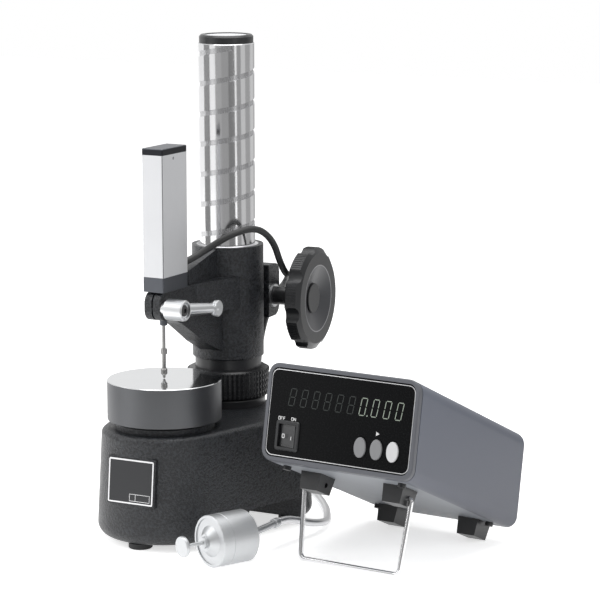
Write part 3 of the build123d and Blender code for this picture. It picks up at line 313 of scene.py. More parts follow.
def plastic(name, colour, shade, roughness, scale=1200.0, depth=0.00004):
    """Moulded plastic or rubber with a fine grain and a faint cloudiness."""
    made = Finish(name)
    grain = made.noise(scale, 2, 0.5)
    cloud = made.noise(30, 2, 0.5)
    tone = made.mix(cloud, colour, shade)
    return made.set(Base_Color=tone, Roughness=roughness + grain * 0.1, Normal=made.bump(grain, depth, 0.5))


# %% [markdown]
# Some metals differ from place to place on one piece, such as a bright chamfer on a grey platen.
# Those places have known heights and radii, so a mask from the object's own coordinates picks them out,
# and no second material or painted map is needed. The first is the steel of the lever and the release.

# %% Satin steel


def satin_metal():
    """Turned steel of the lever; the release is blasted duller and the spindle is ground darker."""
    made = Finish("satin_steel")
    x, y, z = made.axes()
    release_back, release_top, spindle_reach = 0.03, -0.08, 0.0045
    release = (1 - made.above(y, release_back)) * (1 - made.above(z, release_top))
    spindle = made.near(x, 0.0, spindle_reach) * made.near(y, 0.0, spindle_reach)
    cut = made.noise(1500, 3, 0.55)
    stain = made.noise(25, 3, 0.6)
    tone = made.mix(stain, (0.68, 0.69, 0.7), (0.6, 0.61, 0.62))
    tone = made.mix(release, tone, made.mix(stain, (0.56, 0.57, 0.58), (0.5, 0.51, 0.52)))
    tone = made.mix(spindle, tone, (0.36, 0.355, 0.35))
    return made.set(Base_Color=tone, Metallic=1.0, Roughness=0.27 + release * 0.15 + cut * 0.08,
                    Normal=made.bump(cut, 0.00001, 0.4))


# %% [markdown]
# The gauge head is anodised, silver on its housing and dark on its two ends. The seam of its front plate
# and the screw in its side are so slight that a drawn line does for them.

# %% Metals of the gauge head


def housing_metal():
    """Anodised silver: a dark line where the front plate meets the side, and one small screw in the side."""
    made = Finish("silver_aluminium")
    x, y, z = made.axes()
    side, edge_x, edge_y, plate_bottom = 0.0101, 0.0098, -0.0156, 0.085
    screw_y, screw_z, screw_radius, socket_radius = 0.002, 0.1938, 0.0012, 0.0005
    corner = made.above(x, edge_x) * (1 - made.above(y, edge_y)) * made.above(z, plate_bottom)
    off = ((y - screw_y) * (y - screw_y) + (z - screw_z) * (z - screw_z)) ** 0.5
    screw = (1 - made.above(off, screw_radius)) * made.above(off, socket_radius) * made.above(x, side)
    brush = made.noise(1400, 3, 0.55, (1, 1, 0.04))
    stain = made.noise(25, 3, 0.6)
    tone = made.mix(stain, (0.7, 0.705, 0.72), (0.65, 0.655, 0.67))
    tone = made.mix(made.steps(corner + screw, 0, 1), tone, (0.14, 0.14, 0.15))
    return made.set(Base_Color=tone, Metallic=1.0, Roughness=0.48 + brush * 0.08 + stain * 0.04,
                    Normal=made.bump(brush, 0.00001, 0.4))


def dark_anodised():
    """Grey anodised bottom block; the cap at the top came from a darker bath."""
    made = Finish("dark_anodised")
    x, y, z = made.axes()
    cap_bottom, cap_top = 0.19, 0.2025
    cap_side = made.above(z, cap_bottom) * (1 - made.above(z, cap_top))
    cut = made.noise(900, 3, 0.55)
    stain = made.noise(25, 3, 0.6)
    tone = made.mix(stain, (0.12, 0.126, 0.14), (0.095, 0.1, 0.112))
    tone = made.mix(cap_side, tone, (0.03, 0.031, 0.035))
    return made.set(Base_Color=tone, Metallic=1.0, Roughness=0.36 + cut * 0.08 + stain * 0.04,
                    Normal=made.bump(cut, 0.00001, 0.4))


# %% [markdown]
# The column is ground and hard chromed and mirrors the room. The floor of its groove was cut but never
# ground, so it is rougher, and it is painted darker as painted shade. The platen has a lapped grey top, a
# bright ground edge and a turned side.

# %% Column and platen


def column_chrome():
    """Ground hard chrome. The floor of the helical groove, below the ground radius, is rougher and painted
    darker as painted shade.
    """
    made = Finish("chrome_steel")
    x, y, z = made.axes()
    radius = from_column(made, x, y)
    ground_radius, core_radius = 0.0247, 0.02
    groove = (1 - made.above(radius, ground_radius)) * made.above(radius, core_radius)
    cut = made.noise(1500, 3, 0.55, (1, 1, 0.05))
    stain = made.noise(25, 3, 0.6)
    # The groove's darker colour is painted shade; its extra roughness is the unground floor.
    tone = made.mix(groove, made.mix(stain, (0.78, 0.78, 0.79), (0.7, 0.7, 0.71)), (0.5, 0.5, 0.51))
    return made.set(Base_Color=tone, Metallic=1.0, Roughness=0.1 + cut * 0.06 + groove * 0.14,
                    Normal=made.bump(cut, 0.00001, 0.4))


def platen_finish():
    """Lapped top, bright ground edge, turned side with fine rings."""
    made = Finish("platen_steel")
    x, y, z = made.axes()
    face_from, chamfer_from = -0.00004, -0.0006
    top = made.above(z, face_from)
    edge = made.above(z, chamfer_from)
    rings = made.noise(500, 2, 0.5, (1, 1, 9))
    stain = made.noise(22, 3, 0.6)
    side = made.mix(stain, (0.125, 0.128, 0.134), (0.105, 0.107, 0.112))
    colour = made.mix(edge, side, made.mix(stain, (0.68, 0.69, 0.7), (0.62, 0.63, 0.64)))
    return made.set(Base_Color=colour, Metallic=1.0, Roughness=0.44 - edge * 0.3 - top * 0.07 + rings * 0.05,
                    Normal=made.bump(rings * (1 - edge), 0.00002, 0.4))


# %% [markdown]
# The window, the nameplate and the display are what the eye reads first on the counter and the base.
# The plate is enamel over a silver sheet; here its border and one empty box stay bare and it has no words.

# %% Window, nameplate and ink


def window_plastic():
    """Dark display window; a low specular level keeps the studio's white out of it."""
    made = Finish("window_black")
    dust = made.noise(600, 2, 0.5)
    colour = made.mix(dust, (0.0022, 0.0024, 0.0028), (0.004, 0.0042, 0.0047))
    return made.set(Base_Color=colour, Roughness=0.24 + dust * 0.06, Specular_IOR_Level=0.1)


def plate_enamel():
    """Dark enamelled plate: a bare silver border and the outline of one small empty box."""
    made = Finish("plate_silver")
    x, y, z = made.axes()
    plate_z, box_x, box_z, divider_x = -0.0805, 0.0093, -0.094, 0.0051
    inner = made.near(x, 0.0, 0.0213) * made.near(z, plate_z, 0.0179)
    box = made.near(x, box_x, 0.0102) * made.near(z, box_z, 0.0031)
    hole = made.near(x, box_x, 0.00985) * made.near(z, box_z, 0.00275)
    hole = hole * (1 - made.near(x, divider_x, 0.00018))
    dark = inner * (1 - box * (1 - hole))
    brush = made.noise(1500, 3, 0.55, (0.05, 1, 1))
    silver = made.mix(brush, (0.8, 0.8, 0.81), (0.66, 0.66, 0.67))
    colour = made.mix(dark, silver, (0.011, 0.0115, 0.014))
    return made.set(Base_Color=colour, Metallic=1 - dark, Roughness=0.3 + brush * 0.1,
                    Normal=made.bump(brush * (1 - dark), 0.00002, 0.4))


def printed_ink(name, colour, glow=0.0):
    """Flat print or display segment: even, but for the grain of the ink."""
    made = Finish(name)
    grain = made.noise(2500, 2, 0.5)
    shade = tuple(v * 0.88 for v in colour)
    tone = made.mix(grain, colour, shade)
    return made.set(Base_Color=tone, Roughness=0.5 + grain * 0.1, Emission_Color=tone, Emission_Strength=glow)


def clear_glass():
    made = Finish("glass")
    lines = made.node("ShaderNodeTexWave", {"bands_direction": "Z"}, {"Vector": made.place(), "Scale": 600.0})
    colour = made.mix(made.steps(lines, 0.4, 0.6), (0.75, 0.82, 0.8), (0.5, 0.56, 0.55))
    return made.set(Base_Color=colour, Roughness=0.08 + lines * 0.02, Transmission_Weight=0.6)


# %% [markdown]
# Each solid carries the name of its material slot in the frame's record. One table gives every slot its
# finish, so a colour is changed in one place for all the pieces that share it.

# %% Put the finishes on
FINISHES = {
    "black_wrinkle": wrinkle_paint(),
    "case_paint": case_paint(),
    "bottom_grey": light_paint(),
    "chrome_steel": column_chrome(),
    "platen_steel": platen_finish(),
    "satin_steel": satin_metal(),
    "silver_aluminium": housing_metal(),
    "dark_anodised": dark_anodised(),
    "black_anodised": plastic("black_anodised", (0.012, 0.0125, 0.014), (0.018, 0.0185, 0.02), 0.3),
    "plate_silver": plate_enamel(),
    "bronze": metal("bronze", (0.62, 0.44, 0.2), (0.52, 0.35, 0.15), 0.3),
    "black_rubber": plastic("black_rubber", (0.014, 0.014, 0.015), (0.02, 0.02, 0.021), 0.6, 700, 0.00006),
    "black_plastic": wheel_plastic(),
    "bezel_plastic": plastic("bezel_plastic", (0.085, 0.089, 0.102), (0.098, 0.102, 0.116), 0.36),
    "window_black": window_plastic(),
    "button_grey": plastic("button_grey", (0.19, 0.192, 0.198), (0.215, 0.217, 0.223), 0.4),
    "button_light": plastic("button_light", (0.54, 0.54, 0.55), (0.59, 0.59, 0.6), 0.42),
    "glass": clear_glass(),
    "board_green": plastic("board_green", (0.02, 0.1, 0.045), (0.03, 0.13, 0.06), 0.4),
    "hose_clear": metal("hose_clear", (0.78, 0.78, 0.79), (0.68, 0.68, 0.69), 0.3),
    "cable_grey": plastic("cable_grey", (0.013, 0.0135, 0.014), (0.02, 0.0205, 0.021), 0.42),
}

INK_LIT = printed_ink("digit_lit", (0.2, 0.23, 0.19), 0.5)
INK_GHOST = printed_ink("digit_ghost", (0.006, 0.011, 0.009))
# The white print glows a little: painted light, since print gives off none.
INK_WHITE = printed_ink("print_white_glowing", (0.62, 0.62, 0.62), 0.1)

SLOTS = {entry["node"]: entry["material_slot"] for entry in frame["record"]["subparts"]}
for name, node in frame["nodes"].items():
    node.data.materials.clear()
    node.data.materials.append(FINISHES[SLOTS[name]])
print("finishes", len(FINISHES))

# %% [markdown]
# A flexible cable lies in one smooth line. Its route is a handful of given points, and a NURBS spline runs
# through their bends. A tube is then swept along points read from that spline.
# A curve's own bevel would be shorter to write, but here the tube is built as a plain mesh.

# %% Routes of the cords, in millimetres
CABLE_ROUTE = [
    (0.0, 32.7, 97.0), (3.0, 44.5, 100.0), (10.0, 54.5, 106.0), (22.0, 61.6, 115.0), (33.0, 69.2, 121.7),
    (41.0, 83.5, 124.3), (45.5, 96.5, 120.3), (48.5, 110.5, 108.0), (50.0, 118.5, 89.7), (49.5, 130.0, 77.5),
    (43.0, 147.0, 74.0), (33.0, 162.0, 66.0), (19.0, 174.0, 54.0), (4.0, 183.0, 38.0), (-7.0, 187.0, 15.0),
    (-13.0, 189.0, -15.0), (-15.0, 190.0, -48.0), (-14.0, 193.0, -82.0), (-8.0, 203.0, -109.0),
    (4.0, 219.0, -126.0), (26.0, 240.0, -135.0), (58.0, 255.0, -139.0), (96.0, 265.0, -139.0),
    (130.0, 274.0, -139.0), (150.0, 280.0, -139.0), (166.3, 282.5, -139.0)]
TAIL_ROUTE = [(200.0, 247.0, -131.0), (199.5, 234.0, -127.5), (194.0, 221.0, -121.0), (185.5, 209.0, -114.0),
              (179.67, 185.34, -106.93), (178.38, 170.65, -104.2)]
HOSE_ROUTE = [
    (104.7, 14.4, -119.6), (104.84, 26.4, -119.6), (107.4, 43.0, -124.0), (111.2, 60.0, -129.8),
    (112.3, 80.0, -134.2), (108.0, 99.5, -137.6), (98.8, 117.0, -138.6), (88.5, 135.5, -138.6),
    (75.0, 155.0, -138.6), (60.0, 174.0, -138.6), (41.0, 194.0, -138.6), (20.0, 218.0, -138.6),
    (-4.0, 238.0, -138.6), (-24.0, 247.0, -138.6)]
CABLE_THICK, HOSE_THICK = 6.0, 6.8
CABLE_COIL_AT, HOSE_COIL_AT = (172, 250), (-40, 212)
print("route points", len(CABLE_ROUTE) + len(TAIL_ROUTE), "and", len(HOSE_ROUTE))

# %% [markdown]
# Both cords lie in a flat coil on the floor, out of sight. Chosen points would make it wobble, so a loop
# walks round the coil's middle, and the radius and height change a little with every step.

# %% Coils
COIL_STEPS = 12


def coil_turns(middle, start, sense, rounds):
    """Points of a coil from the (radius, height) that each round starts with."""
    points, angle = [], radians(start)
    for (radius, height), (next_radius, next_height) in zip(rounds, rounds[1:]):
        for step in range(COIL_STEPS):
            share = step / COIL_STEPS
            r = radius + (next_radius - radius) * share
            z = height + (next_height - height) * share
            points.append((middle[0] + r * cos(angle), middle[1] + r * sin(angle), z))
            angle += sense * 2 * pi / COIL_STEPS
    return points


def around(middle, places):
    """Points about a coil's middle from (radius, degrees, height)."""
    return [(middle[0] + r * cos(radians(a)), middle[1] + r * sin(radians(a)), z) for r, a, z in places]


# %% [markdown]
# Curves and Geometry Nodes give a shape only once Blender evaluates them. The evaluated shape is copied
# into a plain mesh, which is what an export can read.

# %% From an evaluated shape to a plain mesh


def plain_mesh(carrier):
    """The carrier's shape with its modifiers applied, as a new mesh; the carrier goes."""
    bpy.context.view_layer.update()
    shape = bpy.data.meshes.new_from_object(carrier.evaluated_get(bpy.context.evaluated_depsgraph_get()))
    bpy.data.objects.remove(carrier)
    return shape


def finished(mesh, name):
    """A bmesh written out as mesh data."""
    data = bpy.data.meshes.new(name)
    mesh.to_mesh(data)
    mesh.free()
    return data


def spline_line(name, points):
    """Points along the NURBS spline of a route, in metres."""
    data = bpy.data.curves.new(name, "CURVE")
    data.dimensions = "3D"
    data.resolution_u = 8
    spline = data.splines.new("NURBS")
    spline.points.add(len(points) - 1)
    for point, at in zip(spline.points, points):
        point.co = (*(v * MM for v in at), 1.0)
    spline.order_u = 3
    spline.use_endpoint_u = True
    return [v.co.copy() for v in plain_mesh(linked(name, data)).vertices]


# %% [markdown]
# A ring of points is carried along the line without twist: at each point it is laid square to the line,
# from the side where it was before. Quads between the rings are the tube's wall, and its ends are closed.

# %% A tube along a line


def tube_mesh(name, path, radius, sides=16):
    """Tube along a line of points, with a ring that is carried along without twist."""
    mesh = bmesh.new()
    tangent = (path[1] - path[0]).normalized()
    side = tangent.orthogonal().normalized()
    rings = []
    for here, at in enumerate(path):
        ahead = path[min(here + 1, len(path) - 1)] - path[max(here - 1, 0)]
        ahead.normalize()
        side = (side - ahead * side.dot(ahead)).normalized()
        up = ahead.cross(side)
        ring = [mesh.verts.new(at + (side * cos(a) + up * sin(a)) * radius)
                for a in (2 * pi * k / sides for k in range(sides))]
        rings.append(ring)
    for first, second in zip(rings, rings[1:]):
        for k in range(sides):
            after = (k + 1) % sides
            mesh.faces.new((first[k], first[after], second[after], second[k]))
    mesh.faces.new(list(reversed(rings[0])))
    mesh.faces.new(rings[-1])
    mesh.normal_update()
    data = finished(mesh, name)
    data.shade_smooth()
    return linked(name, data)


def line_length(path):
    return sum((b - a).length for a, b in zip(path, path[1:]))


# %% [markdown]
# The signal cable runs from the gland of the gauge head, down behind the bracket, to the plug in the
# counter's back. The hose runs from the back of the release to its end fitting. Both follow the solids.

# %% The signal cable and the hose
cable_coil = coil_turns(CABLE_COIL_AT, 100, -1, [(37.5, -139), (31.5, -139), (25.5, -138.8), (25.5, -133.0),
                                                 (31.5, -132.9), (35, -132.6)])
cable_coil += around(CABLE_COIL_AT, [(34, 100, -131), (32.5, 70, -128.6), (31, 42, -128), (29.8, 15, -128.8)])
cable_path = spline_line("signal_cable_line", CABLE_ROUTE[:-1] + cable_coil + TAIL_ROUTE)
signal_cable = tube_mesh("signal_cable", cable_path, CABLE_THICK / 2 * MM)
signal_cable.data.materials.append(FINISHES["cable_grey"])
print("signal cable length", round(line_length(cable_path), 3))

hose_coil = coil_turns(HOSE_COIL_AT, 65, 1, [(40, -138.6), (34.6, -138.6), (34.6, -131.9), (41.2, -131.8)])
hose_coil += around(HOSE_COIL_AT, [(41.2, 65, -131.8), (41.2, 95, -131.8), (41.2, 125, -131.8),
                                   (41.2, 155, -131.9)])
HOSE_END = [(-81.0, 212.0, -132.4), (-80.0, 200.0, -136.5), (-78.4, 192.5, -138.6), (-78.0, 188.0, -138.6)]
hose_path = spline_line("release_hose_line", HOSE_ROUTE[:-1] + hose_coil + HOSE_END)
release_hose = tube_mesh("release_hose_tube", hose_path, HOSE_THICK / 2 * MM)
release_hose.data.materials.append(FINISHES["hose_clear"])
print("hose length", round(line_length(hose_path), 3))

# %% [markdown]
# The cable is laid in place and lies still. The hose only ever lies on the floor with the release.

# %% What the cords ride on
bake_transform(signal_cable)
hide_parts("signal_cable_run", "signal_cable_coil", "signal_cable_tail")
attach(release_hose, "stand")
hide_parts("release_hose", "hose_coil")
print("faces of the cords", len(signal_cable.data.polygons), "and", len(release_hose.data.polygons))

# %% [markdown]
# The knurl on the ring, its rows of pads and the ribs on the hand wheel repeat one small block many times.
# A knurl could be cut into the CAD, but hundreds of faces would only slow every check.
# One Geometry Nodes tree lays a block out along a line and turns each copy a bit further, so that rows
# and rounds come from the same tree used twice.

# %% The tree that repeats


def repeat_tree():
    tree = bpy.data.node_groups.new("repeat_piece", "GeometryNodeTree")
    add = tree.interface.new_socket
    add("Geometry", in_out="INPUT", socket_type="NodeSocketGeometry")
    for name, kind in (("Count", "Int"), ("Step", "Vector"), ("Turn", "Vector"), ("Finish", "Material")):
        add(name, in_out="INPUT", socket_type="NodeSocket" + kind)
    add("Geometry", in_out="OUTPUT", socket_type="NodeSocketGeometry")
    made = {key: tree.nodes.new(kind) for key, kind in (
        ("inputs", "NodeGroupInput"), ("line", "GeometryNodeMeshLine"),
        ("place", "GeometryNodeInstanceOnPoints"), ("index", "GeometryNodeInputIndex"),
        ("turn", "ShaderNodeVectorMath"), ("euler", "FunctionNodeEulerToRotation"),
        ("real", "GeometryNodeRealizeInstances"), ("finish", "GeometryNodeSetMaterial"),
        ("out", "NodeGroupOutput"))}
    made["turn"].operation = "SCALE"
    links = [("inputs", "Count", "line", "Count"), ("inputs", "Step", "line", "Offset"),
             ("line", "Mesh", "place", "Points"), ("inputs", "Geometry", "place", "Instance"),
             ("inputs", "Turn", "turn", 0), ("index", 0, "turn", "Scale"), ("turn", 0, "euler", 0),
             ("euler", 0, "place", "Rotation"), ("place", 0, "real", 0), ("real", 0, "finish", "Geometry"),
             ("inputs", "Finish", "finish", "Material"), ("finish", 0, "out", 0)]
    for source, outlet, target, inlet in links:
        tree.links.new(made[source].outputs[outlet], made[target].inputs[inlet])
    return tree


REPEAT = repeat_tree()
print("nodes of the repeat", len(REPEAT.nodes))


def repeated(mesh, count, step, turn, finish):
    """The mesh repeated by the tree, as a new mesh."""
    carrier = linked("repeat_carrier", mesh)
    modifier = carrier.modifiers.new("repeat", "NODES")
    modifier.node_group = REPEAT
    values = {"Count": count, "Step": step, "Turn": turn, "Finish": finish}
    for item in REPEAT.interface.items_tree:
        if item.item_type == "SOCKET" and item.in_out == "INPUT" and item.name in values:
            modifier[item.identifier] = values[item.name]
    return plain_mesh(carrier)


# %% [markdown]
# Both blocks are the same kind: a box whose outer face is a little smaller, so that its flanks slant
# and catch the light. Eight corners are enough for something that is repeated hundreds of times.

# %% One small block


def block_mesh(name, size, middle, chamfer=0.25):
    """Small block with slanted flanks, narrower at +X, the outer side. Sizes in millimetres."""
    mesh = bmesh.new()
    verts = []
    for x in (-1, 1):
        narrow = chamfer if x > 0 else 0
        for y in (-1, 1):
            for z in (-1, 1):
                corner = Vector((x * size[0] / 2, y * (size[1] / 2 - narrow), z * (size[2] / 2 - narrow)))
                verts.append(mesh.verts.new((Vector(middle) + corner) * MM))
    for quad in ((0, 1, 3, 2), (4, 6, 7, 5), (0, 4, 5, 1), (2, 3, 7, 6), (0, 2, 6, 4), (1, 5, 7, 3)):
        mesh.faces.new([verts[k] for k in quad])
    bmesh.ops.recalc_face_normals(mesh, faces=mesh.faces)
    return finished(mesh, name)


def mounted(name, mesh, matrix, body):
    """The mesh moved to its place, as a piece that rides on a body."""
    mesh.transform(matrix)
    piece = linked(name, mesh)
    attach(piece, body)
    return piece


# %% [markdown]
# The ring's knurl is 56 columns of pads, one on each land between the flutes that the CAD has.
# The wheel has eight lands between its scoops, each with eight fine ribs for the fingers.

# %% Knurl and ribs
FLUTES, PAD_ROWS, PAD_PITCH = 56, 5, 0.00505
SCOOPS, LAND_AT, LAND_RIBS, RIB_PITCH = 8, 0.75, 8, 3.0
NO_STEP = (0, 0, 0)
knurl_black, wheel_black = FINISHES["black_anodised"], FINISHES["black_plastic"]
pad = block_mesh("knurl_pad", (1.3, 2.1, 3.5), (36.55, 0, -31.0), 0.5)
pad_column = repeated(pad, PAD_ROWS, (0, 0, PAD_PITCH), NO_STEP, knurl_black)
pads = repeated(pad_column, FLUTES, NO_STEP, (0, 0, 2 * pi / FLUTES), knurl_black)
mounted("knurl_pads", pads, Matrix.Translation((0, COLUMN_AT_Y, 0)), "ring")

wheel_axis = Vector((cos(WHEEL_TURN), sin(WHEEL_TURN), 0))
wheel_back = Vector((-sin(WHEEL_TURN), cos(WHEEL_TURN), 0))
wheel_frame = Matrix((wheel_back, wheel_axis.cross(wheel_back), wheel_axis)).transposed().to_4x4()
wheel_frame.translation = Vector((0, COLUMN_AT_Y, WHEEL_Z)) + wheel_back * WHEEL_BACK
first_rib = LAND_AT * 360 / SCOOPS - RIB_PITCH * (LAND_RIBS - 1) / 2
rib = block_mesh("wheel_rib", (0.7, 1.3, 9.4), (46.0, 0, 66.0))
rib.transform(Matrix.Rotation(radians(first_rib), 4, "Z"))
land = repeated(rib, LAND_RIBS, NO_STEP, (0, 0, radians(RIB_PITCH)), wheel_black)
ribs = repeated(land, SCOOPS, NO_STEP, (0, 0, 2 * pi / SCOOPS), wheel_black)
mounted("wheel_ribs", ribs, wheel_frame, "clamp_knob")
print("knurl pads", PAD_ROWS * FLUTES, "ribs", LAND_RIBS * SCOOPS)

# %% [markdown]
# The counter leans back and is turned a little, so a mark's place is counted across and up its window,
# in the counter's own directions. A mark lies a few hundredths of a millimetre out of the window, so that
# the two faces never fight for the same pixels.

# %% Places on the counter's window
COUNTER_AT = Vector((0.1906, -0.0339, -0.011041))
PANEL_ACROSS = Vector((0.99619, -0.08716, 0.0))
PANEL_UP = Vector((0.01588, 0.18154, 0.98325))
PANEL_IN = Vector((0.0857, 0.97951, -0.18224))
PANEL_SKEW = PANEL_IN * 0.9728 - PANEL_UP * 0.2317
WINDOW_SUNK = 0.8


def on_panel(x, height, out):
    """Point on the window's face: across, up along it, and out of it, in millimetres."""
    face = COUNTER_AT + PANEL_SKEW * (WINDOW_SUNK * MM)
    return face + (PANEL_ACROSS * x + PANEL_UP * height - PANEL_IN * out) * MM


# %% [markdown]
# Every mark is a set of flat strokes: a segment of a digit, a side of a letter. A font would do too,
# but strokes keep each mark to a few quads and need no type to be chosen.

# %% Flat strokes


def stroke_quads(strokes, width):
    """Flat quads (corner lists) along straight strokes given by their ends."""
    quads = []
    for (x1, y1), (x2, y2) in strokes:
        long = Vector((x2 - x1, y2 - y1)).normalized()
        side = Vector((-long.y, long.x)) * width / 2
        a, b = Vector((x1, y1)), Vector((x2, y2))
        quads.append([a - side, b - side, b + side, a + side])
    return quads


def mark_mesh(name, quads, out):
    """The quads as one mesh that faces out of the panel."""
    mesh = bmesh.new()
    for corners in quads:
        mesh.faces.new([mesh.verts.new(on_panel(x, y, out)) for x, y in corners])
    mesh.normal_update()
    for face in mesh.faces:
        if face.normal.dot(PANEL_IN) > 0:
            face.normal_flip()
    return finished(mesh, name)


# %% [markdown]
# The display has ten digit places: six dark ones and 0.000 lit. A digit is up to seven slanted strokes.
# On the real one the dark segments still show faintly, so they get a very dark ink and the lit ones glow.

# %% Digits


def digit_strokes(x, y, wide=5.4, tall=14.4, slant=0.15, middle=True, gap=0.5):
    """The strokes of one seven-segment digit about its middle."""
    w, h = wide / 2, tall / 2
    rows = [[(-w + gap, h), (w - gap, h)], [(-w + gap, -h), (w - gap, -h)],
            [(-w, gap), (-w, h - gap)], [(w, gap), (w, h - gap)],
            [(-w, -h + gap), (-w, -gap)], [(w, -h + gap), (w, -gap)]]
    if middle:
        rows.append([(-w + gap, 0), (w - gap, 0)])
    return [[(x + a + slant * b, y + b) for a, b in row] for row in rows]


DIGIT_Y, STROKE = 14.1, 0.7
DARK_PLACES, DARK_FROM, DARK_PITCH = 6, -48.4, 11.7
LIT_PLACES, LIT_FROM, LIT_PITCH = 4, 21.8, 11.73
ghosts, lit = [], []
for place in range(DARK_PLACES):
    ghosts += stroke_quads(digit_strokes(DARK_FROM + DARK_PITCH * place, DIGIT_Y), STROKE)
for place in range(LIT_PLACES):
    lit += stroke_quads(digit_strokes(LIT_FROM + LIT_PITCH * place, DIGIT_Y, middle=False), STROKE)
lit.append([(25.6, 6.4), (26.6, 6.4), (26.8, 7.6), (25.8, 7.6)])
print("digit strokes", len(ghosts), "dark and", len(lit), "lit")

# %% [markdown]
# The words at the switch need only four letters, each drawn in a box one unit tall. A thin line runs
# round the window near its edge, with rounded corners.

# %% Words and a rounded line
LETTER_WIDE, LETTER_PITCH, LETTER_STROKE = 0.7, 0.98, 0.22
LETTERS = {
    "O": [((0, 0), (0, 1)), ((0, 1), (0.7, 1)), ((0.7, 1), (0.7, 0)), ((0.7, 0), (0, 0))],
    "F": [((0, 0), (0, 1)), ((0, 1), (0.62, 1)), ((0, 0.52), (0.5, 0.52))],
    "N": [((0, 0), (0, 1)), ((0, 1), (0.7, 0)), ((0.7, 0), (0.7, 1))],
    "I": [((0, 0), (0, 1))],
}


def word_quads(word, x, y, tall):
    """Quads of a short word centred on a point."""
    pitch = tall * LETTER_PITCH
    left = x - (pitch * (len(word) - 1) + tall * LETTER_WIDE) / 2
    quads = []
    for order, letter in enumerate(word):
        strokes = [[(left + pitch * order + a * tall, y + (b - 0.5) * tall) for a, b in ends]
                   for ends in LETTERS[letter]]
        quads += stroke_quads(strokes, tall * LETTER_STROKE)
    return quads


def frame_quads(x, y, half_x, half_y, corner, width):
    """A thin line round a rectangle with rounded corners."""
    rim = []
    for cx, cy, start in ((1, 1, 0), (-1, 1, 90), (-1, -1, 180), (1, -1, 270)):
        bend = Vector((x + cx * (half_x - corner), y + cy * (half_y - corner)))
        for step in range(7):
            a = radians(start + 15 * step)
            rim.append((bend, Vector((cos(a), sin(a)))))
    quads = []
    for (p, d), (q, e) in zip(rim, rim[1:] + rim[:1]):
        quads.append([p + d * (corner - width), p + d * corner, q + e * corner, q + e * (corner - width)])
    return quads


# %% [markdown]
# Each kind of ink is one piece, and the marks on the rocker are a piece of their own, because they
# ride on the rocker when it tips.

# %% Put the marks on


def panel_piece(name, quads, finish, body="stand", out=0.07):
    """A mark on the window, or a little out of it, in a finish."""
    data = mark_mesh(name, quads, out)
    data.materials.append(finish)
    return mounted(name, data, Matrix.Identity(4), body)


panel_piece("digits_dark", ghosts, INK_GHOST)
panel_piece("digits_lit", lit, INK_LIT)
white = word_quads("OFF", -57.1, -4.6, 2.5) + word_quads("ON", -45.3, -4.3, 2.5)
white.append([(36.7, -8.3), (39.9, -6.5), (36.7, -4.7)])
panel_piece("window_words", white, INK_WHITE)
rocker_marks = word_quads("O", -52.9, -19.1, 3.0) + word_quads("I", -44.0, -20.4, 3.0)
panel_piece("rocker_marks", rocker_marks, INK_WHITE, "rocker", 1.9)
window_line = frame_quads(0, 0, half_x=70.7, half_y=36.5, corner=6.7, width=0.6)
panel_piece("window_line", window_line, FINISHES["plate_silver"], out=0.05)
print("marks", len(ghosts) + len(lit) + len(white) + len(rocker_marks))

# %% [markdown]
# The floor is a plain white sheet that keeps the shadow. Light falls off towards its edge, which would
# draw a grey horizon, so it also glows, but only for the rays that see it and not as light on the object.

# %% Floor
FLOOR_Z, FLOOR_REACH = -142.0, 4000
SEEING_RAYS = ("Camera", "Glossy", "Transmission")


def floor_finish():
    """White floor that also glows, for the camera and in reflections only."""
    made = Finish("studio_floor")
    light = made.tree.nodes.new("ShaderNodeLightPath")
    seen = made.most(*(Value(made, light.outputs[f"Is {ray} Ray"]) for ray in SEEING_RAYS))
    glow = made.mix(seen, (0, 0, 0), (0.62, 0.62, 0.62))
    return made.set(Base_Color=(0.86, 0.86, 0.86), Roughness=0.8, Emission_Color=glow, Emission_Strength=1.0)


def studio_floor():
    """A square sheet that reaches out of every view."""
    mesh = bmesh.new()
    mesh.faces.new([mesh.verts.new((x * FLOOR_REACH * MM, y * FLOOR_REACH * MM, FLOOR_Z * MM))
                    for x, y in ((-1, -1), (1, -1), (1, 1), (-1, 1))])
    piece = linked("studio_floor_sheet", finished(mesh, "studio_floor_sheet"))
    piece.data.materials.append(floor_finish())


studio_floor()
print("floor", 2 * FLOOR_REACH * MM, "m wide at", FLOOR_Z, "mm")

# %% [markdown]
# Polished metal only looks like metal with something to reflect. Photographers stand grey and white
# boards round it, and the bands on the column are those boards. Here each is a part of a tall ring that
# only reflections see, so that it lights nothing and never stands in the picture.

# %% Boards for the reflections


def board_finish(name, grey):
    """A board that only shows its own even grey in polished metal."""
    made = Finish(name)
    return made.set(Base_Color=(0, 0, 0), Roughness=1.0, Specular_IOR_Level=0.0,
                    Emission_Color=(grey, grey, grey), Emission_Strength=1.0)


def curved_board(number, start, end, grey, radius=640.0, high=420.0):
    """Part of a tall ring round the column, between two directions in degrees, seen only in reflections."""
    steps = max(2, ceil((end - start) / 6))
    mesh = bmesh.new()
    columns = []
    for step in range(steps + 1):
        a = radians(start + (end - start) * step / steps)
        x, y = radius * cos(a) * MM, radius * sin(a) * MM + COLUMN_AT_Y
        columns.append([mesh.verts.new((x, y, z * MM)) for z in (FLOOR_Z + 1, high)])
    for (a, b), (c, d) in zip(columns, columns[1:]):
        mesh.faces.new((a, b, d, c))
    board = linked(f"studio_board_{number}", finished(mesh, f"studio_board_{number}"))
    board.data.materials.append(board_finish(f"board_grey_{number}", grey))
    board.visible_camera = board.visible_diffuse = board.visible_shadow = False
    board.visible_transmission = board.visible_volume_scatter = False


BOARDS = [(-164, -132, 0.26), (-106, -80, 0.46), (-80, -52, 0.38), (-52, -26, 0.22), (-19, 0, 0.36),
          (0, 22, 0.66), (22, 50, 0.42), (50, 80, 0.7), (80, 119, 0.5)]
for number, (start, end, grey) in enumerate(BOARDS):
    curved_board(number, start, end, grey)
print("boards", len(BOARDS))

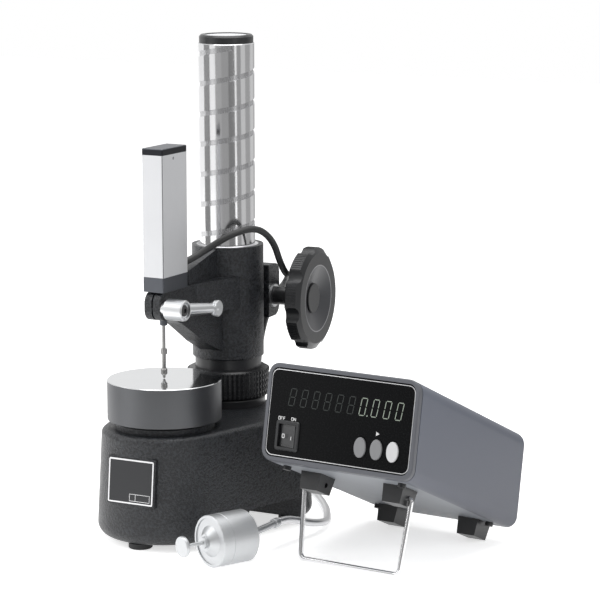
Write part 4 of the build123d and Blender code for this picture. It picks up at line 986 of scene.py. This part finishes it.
# %% [markdown]
# Three soft boxes light the set, as in a product studio: a large one above, one from each side.
# Large areas give the soft-edged shadows that the photograph has.

# %% Lamps


def soft_light(name, at, aim, size, power):
    """Area lamp at a place, aimed at another, in metres and watts."""
    data = bpy.data.lights.new(name, "AREA")
    data.shape = "RECTANGLE"
    data.size, data.size_y = size
    data.energy = power
    lamp = linked(name, data)
    lamp.location = at
    lamp.rotation_euler = (Vector(aim) - Vector(at)).to_track_quat("-Z", "Y").to_euler()


soft_light("top_light", (0.1, 0.1, 1.7), (0.1, 0.1, 0), (1.6, 1.6), 22)
soft_light("left_light", (-1.5, -0.7, 0.7), (0, 0, 0.0), (0.9, 1.4), 22)
soft_light("right_light", (1.6, -0.9, 0.8), (0.1, 0, 0.05), (0.7, 1.2), 10)
print("lamps", [lamp.name for lamp in bpy.data.lights])

# %% [markdown]
# The world has two strengths: white where it is seen, directly or in a reflection, and dimmer where it
# only lights the set. A Light Path node tells the two kinds of ray apart.

# %% World
LIT_STRENGTH, SEEN_STRENGTH = 0.45, 1.0


def studio_world():
    world = bpy.data.worlds.new("studio")
    world.use_nodes = True
    nodes, links = world.node_tree.nodes, world.node_tree.links
    rays = nodes.new("ShaderNodeLightPath")
    seen = rays.outputs[f"Is {SEEING_RAYS[0]} Ray"]
    for ray in SEEING_RAYS[1:]:
        either = nodes.new("ShaderNodeMath")
        either.operation = "MAXIMUM"
        links.new(seen, either.inputs[0])
        links.new(rays.outputs[f"Is {ray} Ray"], either.inputs[1])
        seen = either.outputs[0]
    mix = nodes.new("ShaderNodeMixShader")
    links.new(seen, mix.inputs[0])
    grounds = nodes["Background"], nodes.new("ShaderNodeBackground")
    for order, (ground, strength) in enumerate(zip(grounds, (LIT_STRENGTH, SEEN_STRENGTH))):
        ground.inputs["Color"].default_value = (1, 1, 1, 1)
        ground.inputs["Strength"].default_value = strength
        links.new(ground.outputs[0], mix.inputs[order + 1])
    links.new(mix.outputs[0], nodes["World Output"].inputs["Surface"])
    bpy.context.scene.world = world


studio_world()
print("world", LIT_STRENGTH, "as light and", SEEN_STRENGTH, "as seen")
